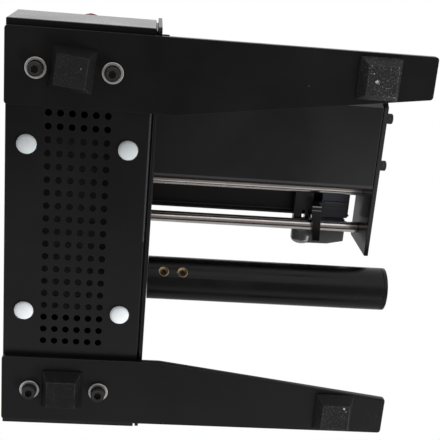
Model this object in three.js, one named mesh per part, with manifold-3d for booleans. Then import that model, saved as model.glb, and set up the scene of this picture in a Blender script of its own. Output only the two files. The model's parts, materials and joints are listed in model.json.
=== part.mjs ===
// Desk label dispenser: a narrow housing on two tapered feet, with a label table, two guide
// rods, a sliding label sensor, a driven take-up tube and a braked supply spindle on its side plate.
// Millimetres. X runs across the machine to its free side, Y from front to rear, Z up from the desk.
import * as THREE from "three";
import { mergeVertices, toCreasedNormals } from "three/addons/utils/BufferGeometryUtils.js";
import Module from "manifold-3d";

const wasm = await Module();
wasm.setup();

// Overall size
const overallWidth = 251.7;
const overallDepth = 260.8;
const overallHeight = 235;
const seatGap = 0.3;
const cutOverrun = 1;

// Feet
const footLength = 250;
const footFrontInset = 4.3;
const footRearInset = 5.5;
const footRootWidth = 45;
const footTipWidth = 25.3;
const footStraightLength = 99.4;
const footThickness = 4.2;
const footCornerRadius = 2;
const footBoltFromLeft = 17.9;
const footBoltSpacing = 43.5;
const footBoltInset = 22.8;

// Rubber pads under the feet
const padBase = 25.7;
const padFace = 17.8;
const padHeight = 9;
const rootPadFromLeft = 38.2;
const rootPadInset = 23.6;
const tipPadFromTip = 34;
const tipPadInset = 15;

// Socket head screws and washers that hold the feet
const footBoltHeadRadius = 4.25;
const footBoltHeadHeight = 5;
const footBoltShankRadius = 2.4;
const footBoltHole = 2.9;
const footBoltReach = 7;
const footBoltSocketRadius = 2.3;
const footBoltSocketDepth = 2.8;
const washerRadius = 6.3;
const washerThickness = 1.2;

// Housing sheets
const housingInset = 0.2;
const housingWidth = 84.7;
const housingSetback = 0.8;
const housingBelowPlate = 1.5;
const frontFaceHeight = 45.7;
const slopeLeanDegrees = 29.4;
const baseThickness = 1.5;
const sheetThickness = 1.5;
const rearRecess = 2.1;

// Vent holes in the base plate
const ventColumns = 6;
const ventRadius = 2.2;
const ventPitchX = 6.92;
const ventPitchY = 8.15;
const ventFromLeft = 25.1;
const ventFrontInset = 52.7;
const ventRearInset = 59;
const ventSides = 8;

// Nylon pillars that carry the control board
const pillarHeadRadius = 6;
const pillarHeadHeight = 2.7;
const pillarRimHeight = 0.6;
const pillarNeckRadius = 3;
const pillarRadius = 4.5;
const pillarHeight = 14;
const pillarPinRadius = 1.5;
const pillarPinHeight = 4;
const pillarFromLeft = 12.8;
const pillarSpacingX = 59.5;
const pillarSpacingShare = 0.412;
const pillarFrontShare = 0.2787;

// Control board and power supply
const boardMargin = 6;
const boardThickness = 1.6;
const boardChipSize = 14;
const boardChipHeight = 3;
const boardCapRadius = 5;
const boardCapHeight = 9;
const supplyBoxWidth = 52;
const supplyBoxDepth = 40;
const supplyBoxHeight = 34;
const supplyBoxFromLeft = 8;
const supplyBoxFromFront = 6;

// Side plate
const plateGap = 1.1;
const plateThickness = 2.3;
const plateSlopeRise = 6;
const plateCornerRadius = 3;
const tabReach = 4.3;
const tabLength = 9;
const tabThickness = 2.5;
const tabFromFront = 3.9;

// Take-up tube, its hub, shaft and gear motor
const takeUpFromFront = 167.4;
const takeUpHeight = 50;
const tubeRadius = 14.5;
const tubeWall = 2;
const tubeStandoff = 0.8;
const tubeCapLip = 2.5;
const tubeCapDepth = 6;
const hubLength = 28;
const motorShaftRadius = 3;
const motorShaftInset = 11;
const shaftHoleRadius = 7;
const setScrewFromPlate = 11.1;
const setScrewSpacing = 12.6;
const setScrewRingRadius = 3.55;
const setScrewRingHeight = 1.6;
const setScrewShankRadius = 2.9;
const setScrewSocketRadius = 2.3;
const setScrewSocketDepth = 3.2;
const setScrewTurnDegrees = 39;
const gearboxRadius = 18.5;
const gearboxLength = 24;
const motorRadius = 16.5;
const motorLength = 40;
const motorBossRadius = 5;
const motorBossLength = 3;

// Supply spindle, its bearing and brake
const spindleFromFront = 118;
const spindleBelowTop = 30;
const spindleRadius = 10;
const spindleEndFromPlate = 148;
const journalRadius = 6;
const bearingFlangeRadius = 21;
const bearingFlangeThickness = 4;
const bearingBarrelRadius = 12;
const bearingBarrelDepth = 14;
const brakeSpringRadius = 8.6;
const brakeWireRadius = 0.8;
const brakeSpringTurns = 4;
const brakeSpringPitch = 2.6;
const brakeNutRadius = 11;
const brakeNutLength = 8;

// Roll discs on the supply spindle
const discRadius = 30;
const discThickness = 4;
const discHubRadius = 15;
const discHubLength = 18;
const innerDiscFromPlate = 8;
const outerDiscFromPlate = 124;
const thumbScrewHeadRadius = 6;
const thumbScrewHeadHeight = 8;
const thumbScrewShankRadius = 2.2;
const thumbScrewNeck = 1;

// Label table, a folded sheet between the side plate and the end plate
const tableInnerWidth = 151.3;
const tableBottomHeight = 65.5;
const tableTopHeight = 111.7;
const tableNoseFromFront = 18;
const tableBottomFront = 44;
const tableBottomRear = 101;
const tableTopRear = 134;
const tableRearFlange = 5;
const tableSheet = 1.5;
const tableNotchFront = 112;
const tableNotchWidth = 4.4;
const stiffenerThickness = 5.5;
const stiffenerFront = 47.5;
const stiffenerRear = 90;

// End plate of the label table
const endPlateThickness = 3;
const endPlateFront = 16;
const endPlateRear = 149.5;
const endPlateTopHeight = 112;
const endPlateNoseHeight = 103;
const endPlateCornerCut = 1.5;

// Table screws
const tableScrewHeadRadius = 3.5;
const tableScrewHeadHeight = 4;
const tableScrewShankRadius = 1.9;
const tableScrewReach = 9;
const tableScrewSocketRadius = 1.7;
const tableScrewSocketDepth = 2;
const tableScrewFronts = [51.9, 84.6];

// Guide rods of the label web
const guideRodRadius = 4;
const guideSpigotRadius = 2.5;
const guideSpigotProud = 1;
const guideRodHeight = 95;
const frontRodFromFront = 110;
const rearRodFromFront = 138.2;

// Label guides on a rod above the table
const guideBarRadius = 3;
const guideBarFromFront = 95;
const guideBarHeight = 125;
const guideBarLength = 147;
const guideBarFlangeRadius = 8;
const guideBarFlangeThickness = 3;
const labelGuideRadius = 12;
const labelGuideHubRadius = 7;
const labelGuideThickness = 3;
const labelGuideLength = 9;
const labelGuideFromPlate = 118;

// Label sensor on the guide rods
const sensorFromLeft = 192.7;
const sensorFront = 113.3;
const sensorRear = 154.3;
const sensorLevelThickness = 5;
const sensorNotches = [[198.7, 201], [204, 206.5]];
const sensorNotchFront = 129;
const sensorNotchRear = 135.8;
const sensorRibEnd = 206;
const sensorBodyFromLeft = 212.5;
const sensorBodyEnd = 232.6;
const sensorBodyRear = 133.4;
const sensorBodyCorner = 1.5;
const sensorWebRear = 153;
const sensorWebEnd = 231;
const sensorWebEndRear = 150.4;
const sensorWebBend = 219;
const sensorWebDrop = 2.5;
const sensorWebCorner = 1;
const sensorBarrelRadius = 7.6;
const sensorBarrelRounding = 4;
const sensorBarrelDrop = 4.3;
const sensorStrapFromLeft = 203.4;
const sensorStrapRearFromLeft = 206.3;
const sensorStrapWidth = 7;
const sensorStrapRearWidth = 5.3;
const sensorStrapFront = 122.4;
const sensorStrapRear = 148.3;
const sensorStrapThickness = 3;
const sensorForkFromLeft = 208.4;
const sensorForkEnd = 229;
const sensorForkFront = 138;
const sensorSlot = 9;
const sensorArmThickness = 8;
const sensorSpineWidth = 7;

// Power inlet on the rear panel
const inletFromLeft = 32;
const inletHeight = 92;
const inletFlangeWidth = 48;
const inletFlangeHeight = 26;
const inletFlangeThickness = 2;
const inletBodyWidth = 28;
const inletBodyHeight = 21;
const inletBodyDepth = 18;
const inletSocketWidth = 24;
const inletSocketHeight = 16.5;
const inletSocketDepth = 15;
const inletPinWidth = 1.8;
const inletPinHeight = 4.2;
const inletPinLength = 9;
const inletPinSpread = 7;
const inletPinRise = 2;

// Controls on the sloped panel; the higher ones stand at shares of its length
const powerSwitchFromLeft = 43.8;
const powerSwitchUp = 20;
const switchFlangeRadius = 10.4;
const switchFlangeThickness = 2;
const switchBodyRadius = 9.6;
const switchBodyDepth = 18;
const switchWellRadius = 8.6;
const switchWellDepth = 5;
const rockerRadius = 7.4;
const rockerHighLip = 6.6;
const rockerMiddle = 4.4;
const rockerLowLip = 3.4;
const rockerRoot = 2.2;
const rockerPivotRadius = 1.2;
const buttonUpShare = 0.27;
const buttonRadius = 5.5;
const buttonProud = 3.5;
const buttonFlangeRadius = 7;
const buttonFlangeThickness = 1.5;
const buttonTravel = 1.8;
const buttonPitch = 30;
const buttonCount = 2;
const panelBoardDepth = 12;
const panelBoardThickness = 1.6;
const panelBoardMargin = 9;
const panelPostRadius = 2;
const keyRadius = 3;
const keyGap = 0.5;
const knobUpShare = 0.46;
const knobRadius = 12;
const knobHeight = 14;
const knobSkirtHeight = 3;
const knobTopRadius = 10;
const knobPointerWidth = 1.6;
const knobPointerDepth = 0.8;
const knobShaftRadius = 3;
const potRadius = 8.5;
const potHeight = 8;
const windowUpShare = 0.69;
const windowWidth = 54;
const windowHeight = 22;
const windowProud = 1.2;
const windowFlange = 2;
const windowDepth = 6;

// Places worked out from the sizes above
const leftEnd = -overallWidth / 2;
const rightEnd = overallWidth / 2;
const plateFront = -overallDepth / 2;
const plateRear = overallDepth / 2;
const footFront = plateFront + footFrontInset;
const footRear = plateRear - footRearInset;
const footTop = padHeight + footThickness;
const baseBottom = footTop + seatGap;
const baseTop = baseBottom + baseThickness;
const sheetBottom = baseTop + seatGap;
const housingLeft = leftEnd + housingInset;
const housingRight = housingLeft + housingWidth;
const housingFront = plateFront + housingSetback;
const housingRear = plateRear - housingSetback;
const housingDepth = housingRear - housingFront;
const housingTop = overallHeight - housingBelowPlate;
const slopeLean = THREE.MathUtils.degToRad(slopeLeanDegrees);
const slopeStart = baseBottom + frontFaceHeight;
const slopeTopY = housingFront + (housingTop - slopeStart) * Math.tan(slopeLean);
const slopeLength = (housingTop - slopeStart) / Math.cos(slopeLean);
const buttonUp = slopeLength * buttonUpShare;
const knobUp = slopeLength * knobUpShare;
const windowUp = slopeLength * windowUpShare;
const plateLeft = housingRight + plateGap;
const plateRight = plateLeft + plateThickness;
const endPlateLeft = plateRight + tableInnerWidth;
const endPlateRight = endPlateLeft + endPlateThickness;
const takeUpY = footFront + takeUpFromFront;
const takeUpZ = padHeight + takeUpHeight;
const tubeLeft = plateRight + tubeStandoff;
const spindleY = footFront + spindleFromFront;
const spindleZ = overallHeight - spindleBelowTop;
const guideRodZ = padHeight + guideRodHeight;
const guideBarY = footFront + guideBarFromFront;
const guideBarZ = padHeight + guideBarHeight;
const boardBottom = baseTop + pillarHeight;

// Materials
function finish(color, roughness, metalness) {
  return new THREE.MeshStandardMaterial({ color, roughness, metalness });
}
const blackPaint = finish(0x1a1a1b, 0.35, 0.3);
const blackSteel = finish(0x222224, 0.4, 0.7);
const blackPlastic = finish(0x1c1d20, 0.45, 0);
const rubber = finish(0x2a2a29, 0.9, 0);
const brightSteel = finish(0xb8b4ae, 0.25, 0.9);
const chrome = finish(0xc9c4bd, 0.12, 1);
const brass = finish(0xa9763f, 0.35, 0.9);
const nylon = finish(0xe9ecee, 0.5, 0);
const redPlastic = finish(0xb3121c, 0.35, 0);
const darkRedWindow = finish(0x4a0c10, 0.1, 0);
const circuitBoard = finish(0x1c5a35, 0.6, 0);
const greyPlastic = finish(0x6b6e70, 0.5, 0);
const aluminium = finish(0x9a9c9e, 0.35, 0.9);

// A closed mesh as a solid: shared corners are welded, flat triangles dropped, faces turned out
function toSolid(geometry) {
  const plain = geometry.clone();
  plain.deleteAttribute("normal");
  plain.deleteAttribute("uv");
  const welded = mergeVertices(plain);
  const corner = welded.attributes.position;
  const corners = [];
  const index = welded.index.array;
  let volume = 0;
  const a = new THREE.Vector3();
  const b = new THREE.Vector3();
  const c = new THREE.Vector3();
  for (let i = 0; i < index.length; i += 3) {
    const [p, q, r] = index.slice(i, i + 3);
    if (p === q || q === r || r === p) continue;
    corners.push([p, q, r]);
    a.fromBufferAttribute(corner, p);
    b.fromBufferAttribute(corner, q);
    c.fromBufferAttribute(corner, r);
    volume += a.dot(b.cross(c));
  }
  const turned = volume < 0 ? corners.map(([p, q, r]) => [p, r, q]) : corners;
  return new wasm.Manifold(new wasm.Mesh({
    numProp: 3,
    vertProperties: new Float32Array(corner.array),
    triVerts: new Uint32Array(turned.flat()),
  }));
}

function asSolid(part) {
  return part.isBufferGeometry ? toSolid(part) : part;
}

function join(...parts) {
  return parts.map(asSolid).reduce((whole, part) => whole.add(part));
}

function cut(body, ...tools) {
  return tools.reduce((rest, tool) => rest.subtract(asSolid(tool)), asSolid(body));
}

function overlap(first, second) {
  return asSolid(first).intersect(asSolid(second));
}

// Makes the named mesh and hangs it in its group
function place(parent, name, part, material) {
  const mesh = asSolid(part).getMesh();
  const geometry = new THREE.BufferGeometry();
  geometry.setAttribute("position", new THREE.BufferAttribute(mesh.vertProperties, mesh.numProp));
  geometry.setIndex(new THREE.BufferAttribute(mesh.triVerts, 1));
  const node = new THREE.Mesh(toCreasedNormals(geometry), material);
  node.name = name;
  parent.add(node);
  return node;
}

// Basic shapes; a span is a pair of low and high values
function middle(span) {
  return (span[0] + span[1]) / 2;
}

function length(span) {
  return span[1] - span[0];
}

function block(x, y, z) {
  const geometry = new THREE.BoxGeometry(length(x), length(y), length(z));
  return geometry.translate(middle(x), middle(y), middle(z));
}

function roundAlongX(radius, x, y, z, sides = 32) {
  const geometry = new THREE.CylinderGeometry(radius, radius, length(x), sides);
  return geometry.rotateZ(-Math.PI / 2).translate(middle(x), y, z);
}

function roundAlongZ(radius, z, x, y, sides = 24) {
  const geometry = new THREE.CylinderGeometry(radius, radius, length(z), sides);
  return geometry.rotateX(Math.PI / 2).translate(x, y, middle(z));
}

// A turned shape about a line along X; each point is [radius, place along X]
function turnedAlongX(points, y, z, sides = 32) {
  const profile = points.map(([radius, along]) => new THREE.Vector2(radius, along));
  const geometry = new THREE.LatheGeometry(profile, sides);
  return geometry.rotateZ(-Math.PI / 2).translate(0, y, z);
}

// A turned shape about a line along Z; each point is [radius, height]
function turnedAlongZ(points, x, y, sides = 24) {
  const profile = points.map(([radius, height]) => new THREE.Vector2(radius, height));
  const geometry = new THREE.LatheGeometry(profile, sides);
  return geometry.rotateX(Math.PI / 2).translate(x, y, 0);
}

function circle(radius, x, y, sides) {
  const points = [];
  for (let i = 0; i < sides; i += 1) {
    const turn = (2 * Math.PI * (i + 1 / 2)) / sides;
    points.push(new THREE.Vector2(x + radius * Math.cos(turn), y + radius * Math.sin(turn)));
  }
  return points;
}

// Rounds the corners of an outline; each corner is [u, v, radius]
function rounded(corners, steps = 5) {
  const points = [];
  corners.forEach(([u, v, radius = 0], i) => {
    const corner = new THREE.Vector2(u, v);
    const before = corners[(i + corners.length - 1) % corners.length];
    const after = corners[(i + 1) % corners.length];
    const back = new THREE.Vector2(before[0], before[1]).sub(corner).normalize();
    const onward = new THREE.Vector2(after[0], after[1]).sub(corner).normalize();
    if (radius === 0) {
      points.push(corner);
      return;
    }
    const half = Math.acos(THREE.MathUtils.clamp(back.dot(onward), -1, 1)) / 2;
    const bisector = back.clone().add(onward).normalize();
    const centre = corner.clone().addScaledVector(bisector, radius / Math.sin(half));
    const start = corner.clone().addScaledVector(back, radius / Math.tan(half)).sub(centre);
    const end = corner.clone().addScaledVector(onward, radius / Math.tan(half)).sub(centre);
    const sweep = Math.atan2(start.cross(end), start.dot(end));
    for (let k = 0; k <= steps; k += 1) {
      const arm = start.clone().rotateAround(new THREE.Vector2(), (sweep * k) / steps);
      points.push(centre.clone().add(arm));
    }
  });
  return points;
}

function extruded(points, depth, holes = []) {
  const shape = new THREE.Shape(points);
  shape.holes = holes.map((hole) => new THREE.Path(hole));
  return new THREE.ExtrudeGeometry(shape, { depth, bevelEnabled: false });
}

// A flat plate whose outline lies in Y and Z, as thick as its span along X
function plateAlongX(points, x, holes = []) {
  const turn = new THREE.Matrix4().makeBasis(
    new THREE.Vector3(0, 1, 0),
    new THREE.Vector3(0, 0, 1),
    new THREE.Vector3(1, 0, 0),
  );
  return extruded(points, length(x), holes).applyMatrix4(turn).translate(x[0], 0, 0);
}

function plateAlongZ(points, z, holes = []) {
  return extruded(points, length(z), holes).translate(0, 0, z[0]);
}

// A fold line moved to its left by a distance, as seen along the line
function movedIn(line, distance) {
  return line.map(([u, v], i) => {
    const here = new THREE.Vector2(u, v);
    const before = line[i - 1] ?? [2 * u - line[i + 1][0], 2 * v - line[i + 1][1]];
    const after = line[i + 1] ?? [2 * u - line[i - 1][0], 2 * v - line[i - 1][1]];
    const first = here.clone().sub(new THREE.Vector2(...before)).normalize();
    const second = new THREE.Vector2(...after).sub(here).normalize();
    const normal = new THREE.Vector2(-first.y - second.y, first.x + second.x).normalize();
    const reach = distance / normal.dot(new THREE.Vector2(-first.y, first.x));
    return here.addScaledVector(normal, reach);
  });
}

// The outline of a folded sheet: its outer fold line, then the same line moved in by its thickness
function foldedOutline(line, thickness) {
  return [...line.map(([u, v]) => new THREE.Vector2(u, v)), ...movedIn(line, thickness).reverse()];
}

// A round wire wound along X, closed at both ends
function woundWire(coilRadius, wireRadius, turns, pitch, stepsPerTurn = 14, sides = 5) {
  const rings = Math.round(turns * stepsPerTurn);
  const places = [];
  const faces = [];
  const rise = pitch / (2 * Math.PI * coilRadius);
  const slant = 1 / Math.hypot(1, rise);
  for (let i = 0; i <= rings; i += 1) {
    const turn = (2 * Math.PI * i) / stepsPerTurn;
    const out = new THREE.Vector3(0, Math.cos(turn), Math.sin(turn));
    const round = new THREE.Vector3(0, -Math.sin(turn), Math.cos(turn));
    const up = new THREE.Vector3(slant, 0, 0).addScaledVector(round, -rise * slant);
    const centre = out.clone().multiplyScalar(coilRadius).setX((pitch * i) / stepsPerTurn);
    for (let k = 0; k < sides; k += 1) {
      const side = (2 * Math.PI * k) / sides;
      const point = centre.clone().addScaledVector(out, wireRadius * Math.cos(side));
      point.addScaledVector(up, wireRadius * Math.sin(side));
      places.push(point.x, point.y, point.z);
    }
  }
  for (let i = 0; i < rings; i += 1) {
    for (let k = 0; k < sides; k += 1) {
      const a = i * sides + k;
      const b = i * sides + ((k + 1) % sides);
      faces.push(a, b, b + sides, a, b + sides, a + sides);
    }
  }
  for (let k = 1; k < sides - 1; k += 1) {
    const last = rings * sides;
    faces.push(0, k + 1, k, last, last + k, last + k + 1);
  }
  const geometry = new THREE.BufferGeometry();
  geometry.setAttribute("position", new THREE.Float32BufferAttribute(places, 3));
  geometry.setIndex(faces);
  return geometry;
}

// A socket head screw along Z: the head's outer face at z = 0, the shank rising from it
function socketScrew(head, shank, reach, socket) {
  const outer = turnedAlongZ([
    [0, 0],
    [head.radius, 0],
    [head.radius, head.height],
    [shank, head.height],
    [shank, head.height + reach],
    [0, head.height + reach],
  ], 0, 0, 20);
  const recess = roundAlongZ(socket.radius, [-cutOverrun, socket.depth], 0, 0, 6);
  return cut(outer, recess);
}

// The outer edge of a foot, and a place measured inwards from it; side is -1 in front, 1 behind
function footEdge(side) {
  return side < 0 ? footFront : footRear;
}

function inwards(side, distance) {
  return footEdge(side) - side * distance;
}

function footOutline(side) {
  return rounded([
    [leftEnd, footEdge(side), footCornerRadius],
    [leftEnd + footLength, footEdge(side), footCornerRadius],
    [leftEnd + footLength, inwards(side, footTipWidth), footCornerRadius],
    [leftEnd + footStraightLength, inwards(side, footRootWidth), footRootWidth / 2],
    [leftEnd, inwards(side, footRootWidth), footCornerRadius],
  ]);
}

function footBoltPlaces(side) {
  const y = inwards(side, footBoltInset);
  return [0, 1].map((i) => [leftEnd + footBoltFromLeft + i * footBoltSpacing, y]);
}

function addFoot(machine, side, label) {
  const holes = footBoltPlaces(side).map(([x, y]) => circle(footBoltHole, x, y, 16));
  place(machine, `${label}_foot`, plateAlongZ(footOutline(side), [padHeight, footTop], holes), blackPaint);
}

// A rubber pad: a square that narrows towards the desk
function addPad(machine, name, x, y) {
  const pad = new THREE.CylinderGeometry(
    padBase / Math.SQRT2,
    padFace / Math.SQRT2,
    padHeight - seatGap,
    4,
  );
  pad.rotateY(Math.PI / 4).rotateX(Math.PI / 2).translate(x, y, (padHeight - seatGap) / 2);
  place(machine, name, pad, rubber);
}

function addPads(machine, side, label) {
  addPad(machine, `${label}_root_pad`, leftEnd + rootPadFromLeft, inwards(side, rootPadInset));
  addPad(machine, `${label}_tip_pad`, leftEnd + footLength - tipPadFromTip, inwards(side, tipPadInset));
}

function addFootBolts(machine, side, label) {
  footBoltPlaces(side).forEach(([x, y], i) => {
    const washerTop = padHeight - seatGap;
    const washerBottom = washerTop - washerThickness;
    const washer = plateAlongZ(
      circle(washerRadius, 0, 0, 24),
      [0, washerThickness],
      [circle(footBoltHole, 0, 0, 16)],
    );
    place(machine, `${label}_foot_washer_${i + 1}`, washer, brightSteel).position.set(x, y, washerBottom);
    const screw = socketScrew(
      { radius: footBoltHeadRadius, height: footBoltHeadHeight },
      footBoltShankRadius,
      footBoltReach + seatGap,
      { radius: footBoltSocketRadius, depth: footBoltSocketDepth },
    );
    const bottom = washerBottom - seatGap - footBoltHeadHeight;
    place(machine, `${label}_foot_bolt_${i + 1}`, screw, blackSteel).position.set(x, y, bottom);
  });
}

// Nylon pillars: places shared by the base plate, the pillars and the board
function pillarPlaces() {
  const places = [];
  for (const row of [0, 1]) {
    for (const column of [0, 1]) {
      places.push([
        leftEnd + pillarFromLeft + column * pillarSpacingX,
        housingFront + (pillarFrontShare + row * pillarSpacingShare) * housingDepth,
      ]);
    }
  }
  return places;
}

// The base plate lies on the feet, with a grid of vent holes
function addBasePlate(machine) {
  const holes = [];
  const ventRows = 1 + Math.floor((housingDepth - ventFrontInset - ventRearInset) / ventPitchY);
  for (let row = 0; row < ventRows; row += 1) {
    for (let column = 0; column < ventColumns; column += 1) {
      const x = leftEnd + ventFromLeft + column * ventPitchX;
      const y = housingFront + ventFrontInset + row * ventPitchY;
      holes.push(circle(ventRadius, x, y, ventSides));
    }
  }
  pillarPlaces().forEach(([x, y]) => holes.push(circle(pillarNeckRadius + seatGap, x, y, 16)));
  for (const side of [-1, 1]) {
    footBoltPlaces(side).forEach(([x, y]) => holes.push(circle(footBoltHole, x, y, 16)));
  }
  const corners = [
    new THREE.Vector2(housingLeft, housingFront),
    new THREE.Vector2(housingRight, housingFront),
    new THREE.Vector2(housingRight, housingRear),
    new THREE.Vector2(housingLeft, housingRear),
  ];
  place(machine, "base_plate", plateAlongZ(corners, [baseBottom, baseTop], holes), blackPaint);
}

function addPillars(machine) {
  const rim = baseBottom - seatGap;
  const bottom = rim - pillarHeadHeight;
  const domeRise = pillarHeadHeight - pillarRimHeight;
  pillarPlaces().forEach(([x, y], i) => {
    const dome = [0, 1, 2, 3].map((k) => {
      const turn = (k * Math.PI) / 8;
      return [pillarHeadRadius * Math.sin(turn), bottom + domeRise * (1 - Math.cos(turn))];
    });
    const pillar = turnedAlongZ([
      ...dome,
      [pillarHeadRadius, bottom + domeRise],
      [pillarHeadRadius, rim],
      [pillarNeckRadius, rim],
      [pillarNeckRadius, baseTop + seatGap],
      [pillarRadius, baseTop + seatGap],
      [pillarRadius, boardBottom - seatGap],
      [pillarPinRadius, boardBottom - seatGap],
      [pillarPinRadius, boardBottom + pillarPinHeight],
      [0, boardBottom + pillarPinHeight],
    ], x, y, 20);
    place(machine, `board_pillar_${i + 1}`, pillar, nylon);
  });
}

// The control board, with its main chip and two round capacitors
function addControlBoard(machine) {
  const places = pillarPlaces();
  const [left, front] = places[0];
  const [right, rear] = places[places.length - 1];
  const corners = [
    new THREE.Vector2(left - boardMargin, front - boardMargin),
    new THREE.Vector2(right + boardMargin, front - boardMargin),
    new THREE.Vector2(right + boardMargin, rear + boardMargin),
    new THREE.Vector2(left - boardMargin, rear + boardMargin),
  ];
  const holes = places.map(([x, y]) => circle(pillarPinRadius + seatGap, x, y, 12));
  const top = boardBottom + boardThickness;
  const board = plateAlongZ(corners, [boardBottom, top], holes);
  const midX = (left + right) / 2;
  const midY = (front + rear) / 2;
  const half = boardChipSize / 2;
  const chip = block(
    [midX - half, midX + half],
    [midY - half, midY + half],
    [boardBottom, top + boardChipHeight],
  );
  const caps = [-1, 1].map((side) => {
    const x = midX + side * (half + boardCapRadius);
    return roundAlongZ(boardCapRadius, [boardBottom, top + boardCapHeight], x, front + boardChipSize, 16);
  });
  place(machine, "control_board", join(board, chip, ...caps), circuitBoard);
}

function addPowerSupply(machine) {
  const left = leftEnd + supplyBoxFromLeft;
  const front = housingFront + sheetThickness + supplyBoxFromFront;
  const supply = block(
    [left, left + supplyBoxWidth],
    [front, front + supplyBoxDepth],
    [baseTop + seatGap, baseTop + seatGap + supplyBoxHeight],
  );
  place(machine, "power_supply", supply, aluminium);
}

// The sloped panel's own frame: X across, Y up the slope, Z out of the panel
function slopeMatrix() {
  const matrix = new THREE.Matrix4().makeRotationX(Math.PI / 2 - slopeLean);
  return matrix.setPosition(0, housingFront, slopeStart);
}

function buttonPlaces() {
  const middleX = (housingLeft + housingRight) / 2;
  const places = [];
  for (let i = 0; i < buttonCount; i += 1) {
    places.push([middleX + (i - (buttonCount - 1) / 2) * buttonPitch, buttonUp]);
  }
  return places;
}

function windowSpans(grow) {
  const x = (housingLeft + housingRight) / 2;
  return [
    [x - windowWidth / 2 - grow, x + windowWidth / 2 + grow],
    [windowUp - windowHeight / 2 - grow, windowUp + windowHeight / 2 + grow],
  ];
}

// The cover's fold line from the top's rear edge to the foot of the upright front
function coverLine() {
  return [
    [housingRear, housingTop],
    [slopeTopY, housingTop],
    [housingFront, slopeStart],
    [housingFront, sheetBottom],
  ];
}

// The cover is one folded sheet: top, sloped control panel and upright front
function addCover(machine) {
  const sheet = plateAlongX(foldedOutline(coverLine(), sheetThickness), [housingLeft, housingRight]);
  const through = [-sheetThickness - cutOverrun, cutOverrun];
  const switchX = leftEnd + powerSwitchFromLeft;
  const knobX = (housingLeft + housingRight) / 2;
  const [windowX, windowY] = windowSpans(seatGap);
  const tools = [
    roundAlongZ(switchBodyRadius + seatGap, through, switchX, powerSwitchUp),
    roundAlongZ(knobShaftRadius + seatGap, through, knobX, knobUp, 16),
    block(windowX, windowY, through),
    ...buttonPlaces().map(([x, y]) => roundAlongZ(buttonRadius + seatGap, through, x, y)),
  ];
  tools.forEach((tool) => tool.applyMatrix4(slopeMatrix()));
  place(machine, "housing_cover", cut(sheet, ...tools), blackPaint);
}

function addLeftPanel(machine) {
  const corners = [
    ...movedIn(coverLine(), sheetThickness + seatGap),
    new THREE.Vector2(housingRear, sheetBottom),
  ];
  const panel = plateAlongX(corners, [housingLeft, housingLeft + sheetThickness]);
  place(machine, "left_panel", panel, blackPaint);
}

function addRearPanel(machine) {
  const outer = housingRear - rearRecess;
  const panel = block(
    [housingLeft + sheetThickness + seatGap, housingRight],
    [outer - sheetThickness, outer],
    [sheetBottom, housingTop - sheetThickness - seatGap],
  );
  const x = leftEnd + inletFromLeft;
  const z = padHeight + inletHeight;
  const opening = block(
    [x - inletBodyWidth / 2 - seatGap, x + inletBodyWidth / 2 + seatGap],
    [outer - sheetThickness - cutOverrun, outer + cutOverrun],
    [z - inletBodyHeight / 2 - seatGap, z + inletBodyHeight / 2 + seatGap],
  );
  place(machine, "rear_panel", cut(panel, opening), blackPaint);
}

// The power inlet: a flanged body with a deep socket and three flat pins
function addPowerInlet(machine) {
  const x = leftEnd + inletFromLeft;
  const z = padHeight + inletHeight;
  const face = housingRear - rearRecess + seatGap;
  const centred = (width) => [x - width / 2, x + width / 2];
  const level = (height) => [z - height / 2, z + height / 2];
  const outer = face + inletFlangeThickness;
  const flange = block(centred(inletFlangeWidth), [face, outer], level(inletFlangeHeight));
  const body = block(centred(inletBodyWidth), [face - inletBodyDepth, outer], level(inletBodyHeight));
  const socket = block(
    centred(inletSocketWidth),
    [outer - inletSocketDepth, outer + cutOverrun],
    level(inletSocketHeight),
  );
  const floor = outer - inletSocketDepth;
  const pins = [-1, 0, 1].map((i) => {
    const pinX = x + i * inletPinSpread;
    const pinZ = z + (i === 0 ? inletPinRise : -inletPinRise);
    return block(
      [pinX - inletPinWidth / 2, pinX + inletPinWidth / 2],
      [floor - inletPinWidth, floor + inletPinLength],
      [pinZ - inletPinHeight / 2, pinZ + inletPinHeight / 2],
    );
  });
  place(machine, "power_inlet", join(cut(join(flange, body), socket), ...pins), blackPlastic);
}

// Places of the table screws, shared by both plates and the stiffener
function tableScrewPlaces() {
  const z = padHeight + tableBottomHeight + tableSheet + seatGap + stiffenerThickness / 2;
  return tableScrewFronts.map((front) => [footFront + front, z]);
}

function rodPlaces() {
  return [frontRodFromFront, rearRodFromFront].map((front) => [footFront + front, guideRodZ]);
}

// The side plate carries everything on the free side
function addSidePlate(machine) {
  const slopeFoot = slopeStart + plateSlopeRise;
  const slopeTop = plateFront + (overallHeight - slopeFoot) * Math.tan(slopeLean);
  const corners = rounded([
    [plateFront, baseBottom, plateCornerRadius],
    [plateRear, baseBottom, plateCornerRadius],
    [plateRear, overallHeight, plateCornerRadius],
    [slopeTop, overallHeight, plateCornerRadius],
    [plateFront, slopeFoot, plateCornerRadius],
  ]);
  const holes = [
    circle(shaftHoleRadius, takeUpY, takeUpZ, 24),
    circle(bearingBarrelRadius + seatGap, spindleY, spindleZ, 32),
    circle(guideSpigotRadius + seatGap, guideBarY, guideBarZ, 16),
    ...rodPlaces().map(([y, z]) => circle(guideSpigotRadius + seatGap, y, z, 16)),
    ...tableScrewPlaces().map(([y, z]) => circle(tableScrewShankRadius + seatGap, y, z, 12)),
  ];
  const plate = plateAlongX(corners, [plateLeft, plateRight], holes);
  const tab = block(
    [plateLeft, plateRight + tabReach],
    [plateFront + tabFromFront, plateFront + tabFromFront + tabLength],
    [baseBottom, baseBottom + tabThickness],
  );
  place(machine, "side_plate", join(plate, tab), blackPaint);
}

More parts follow.
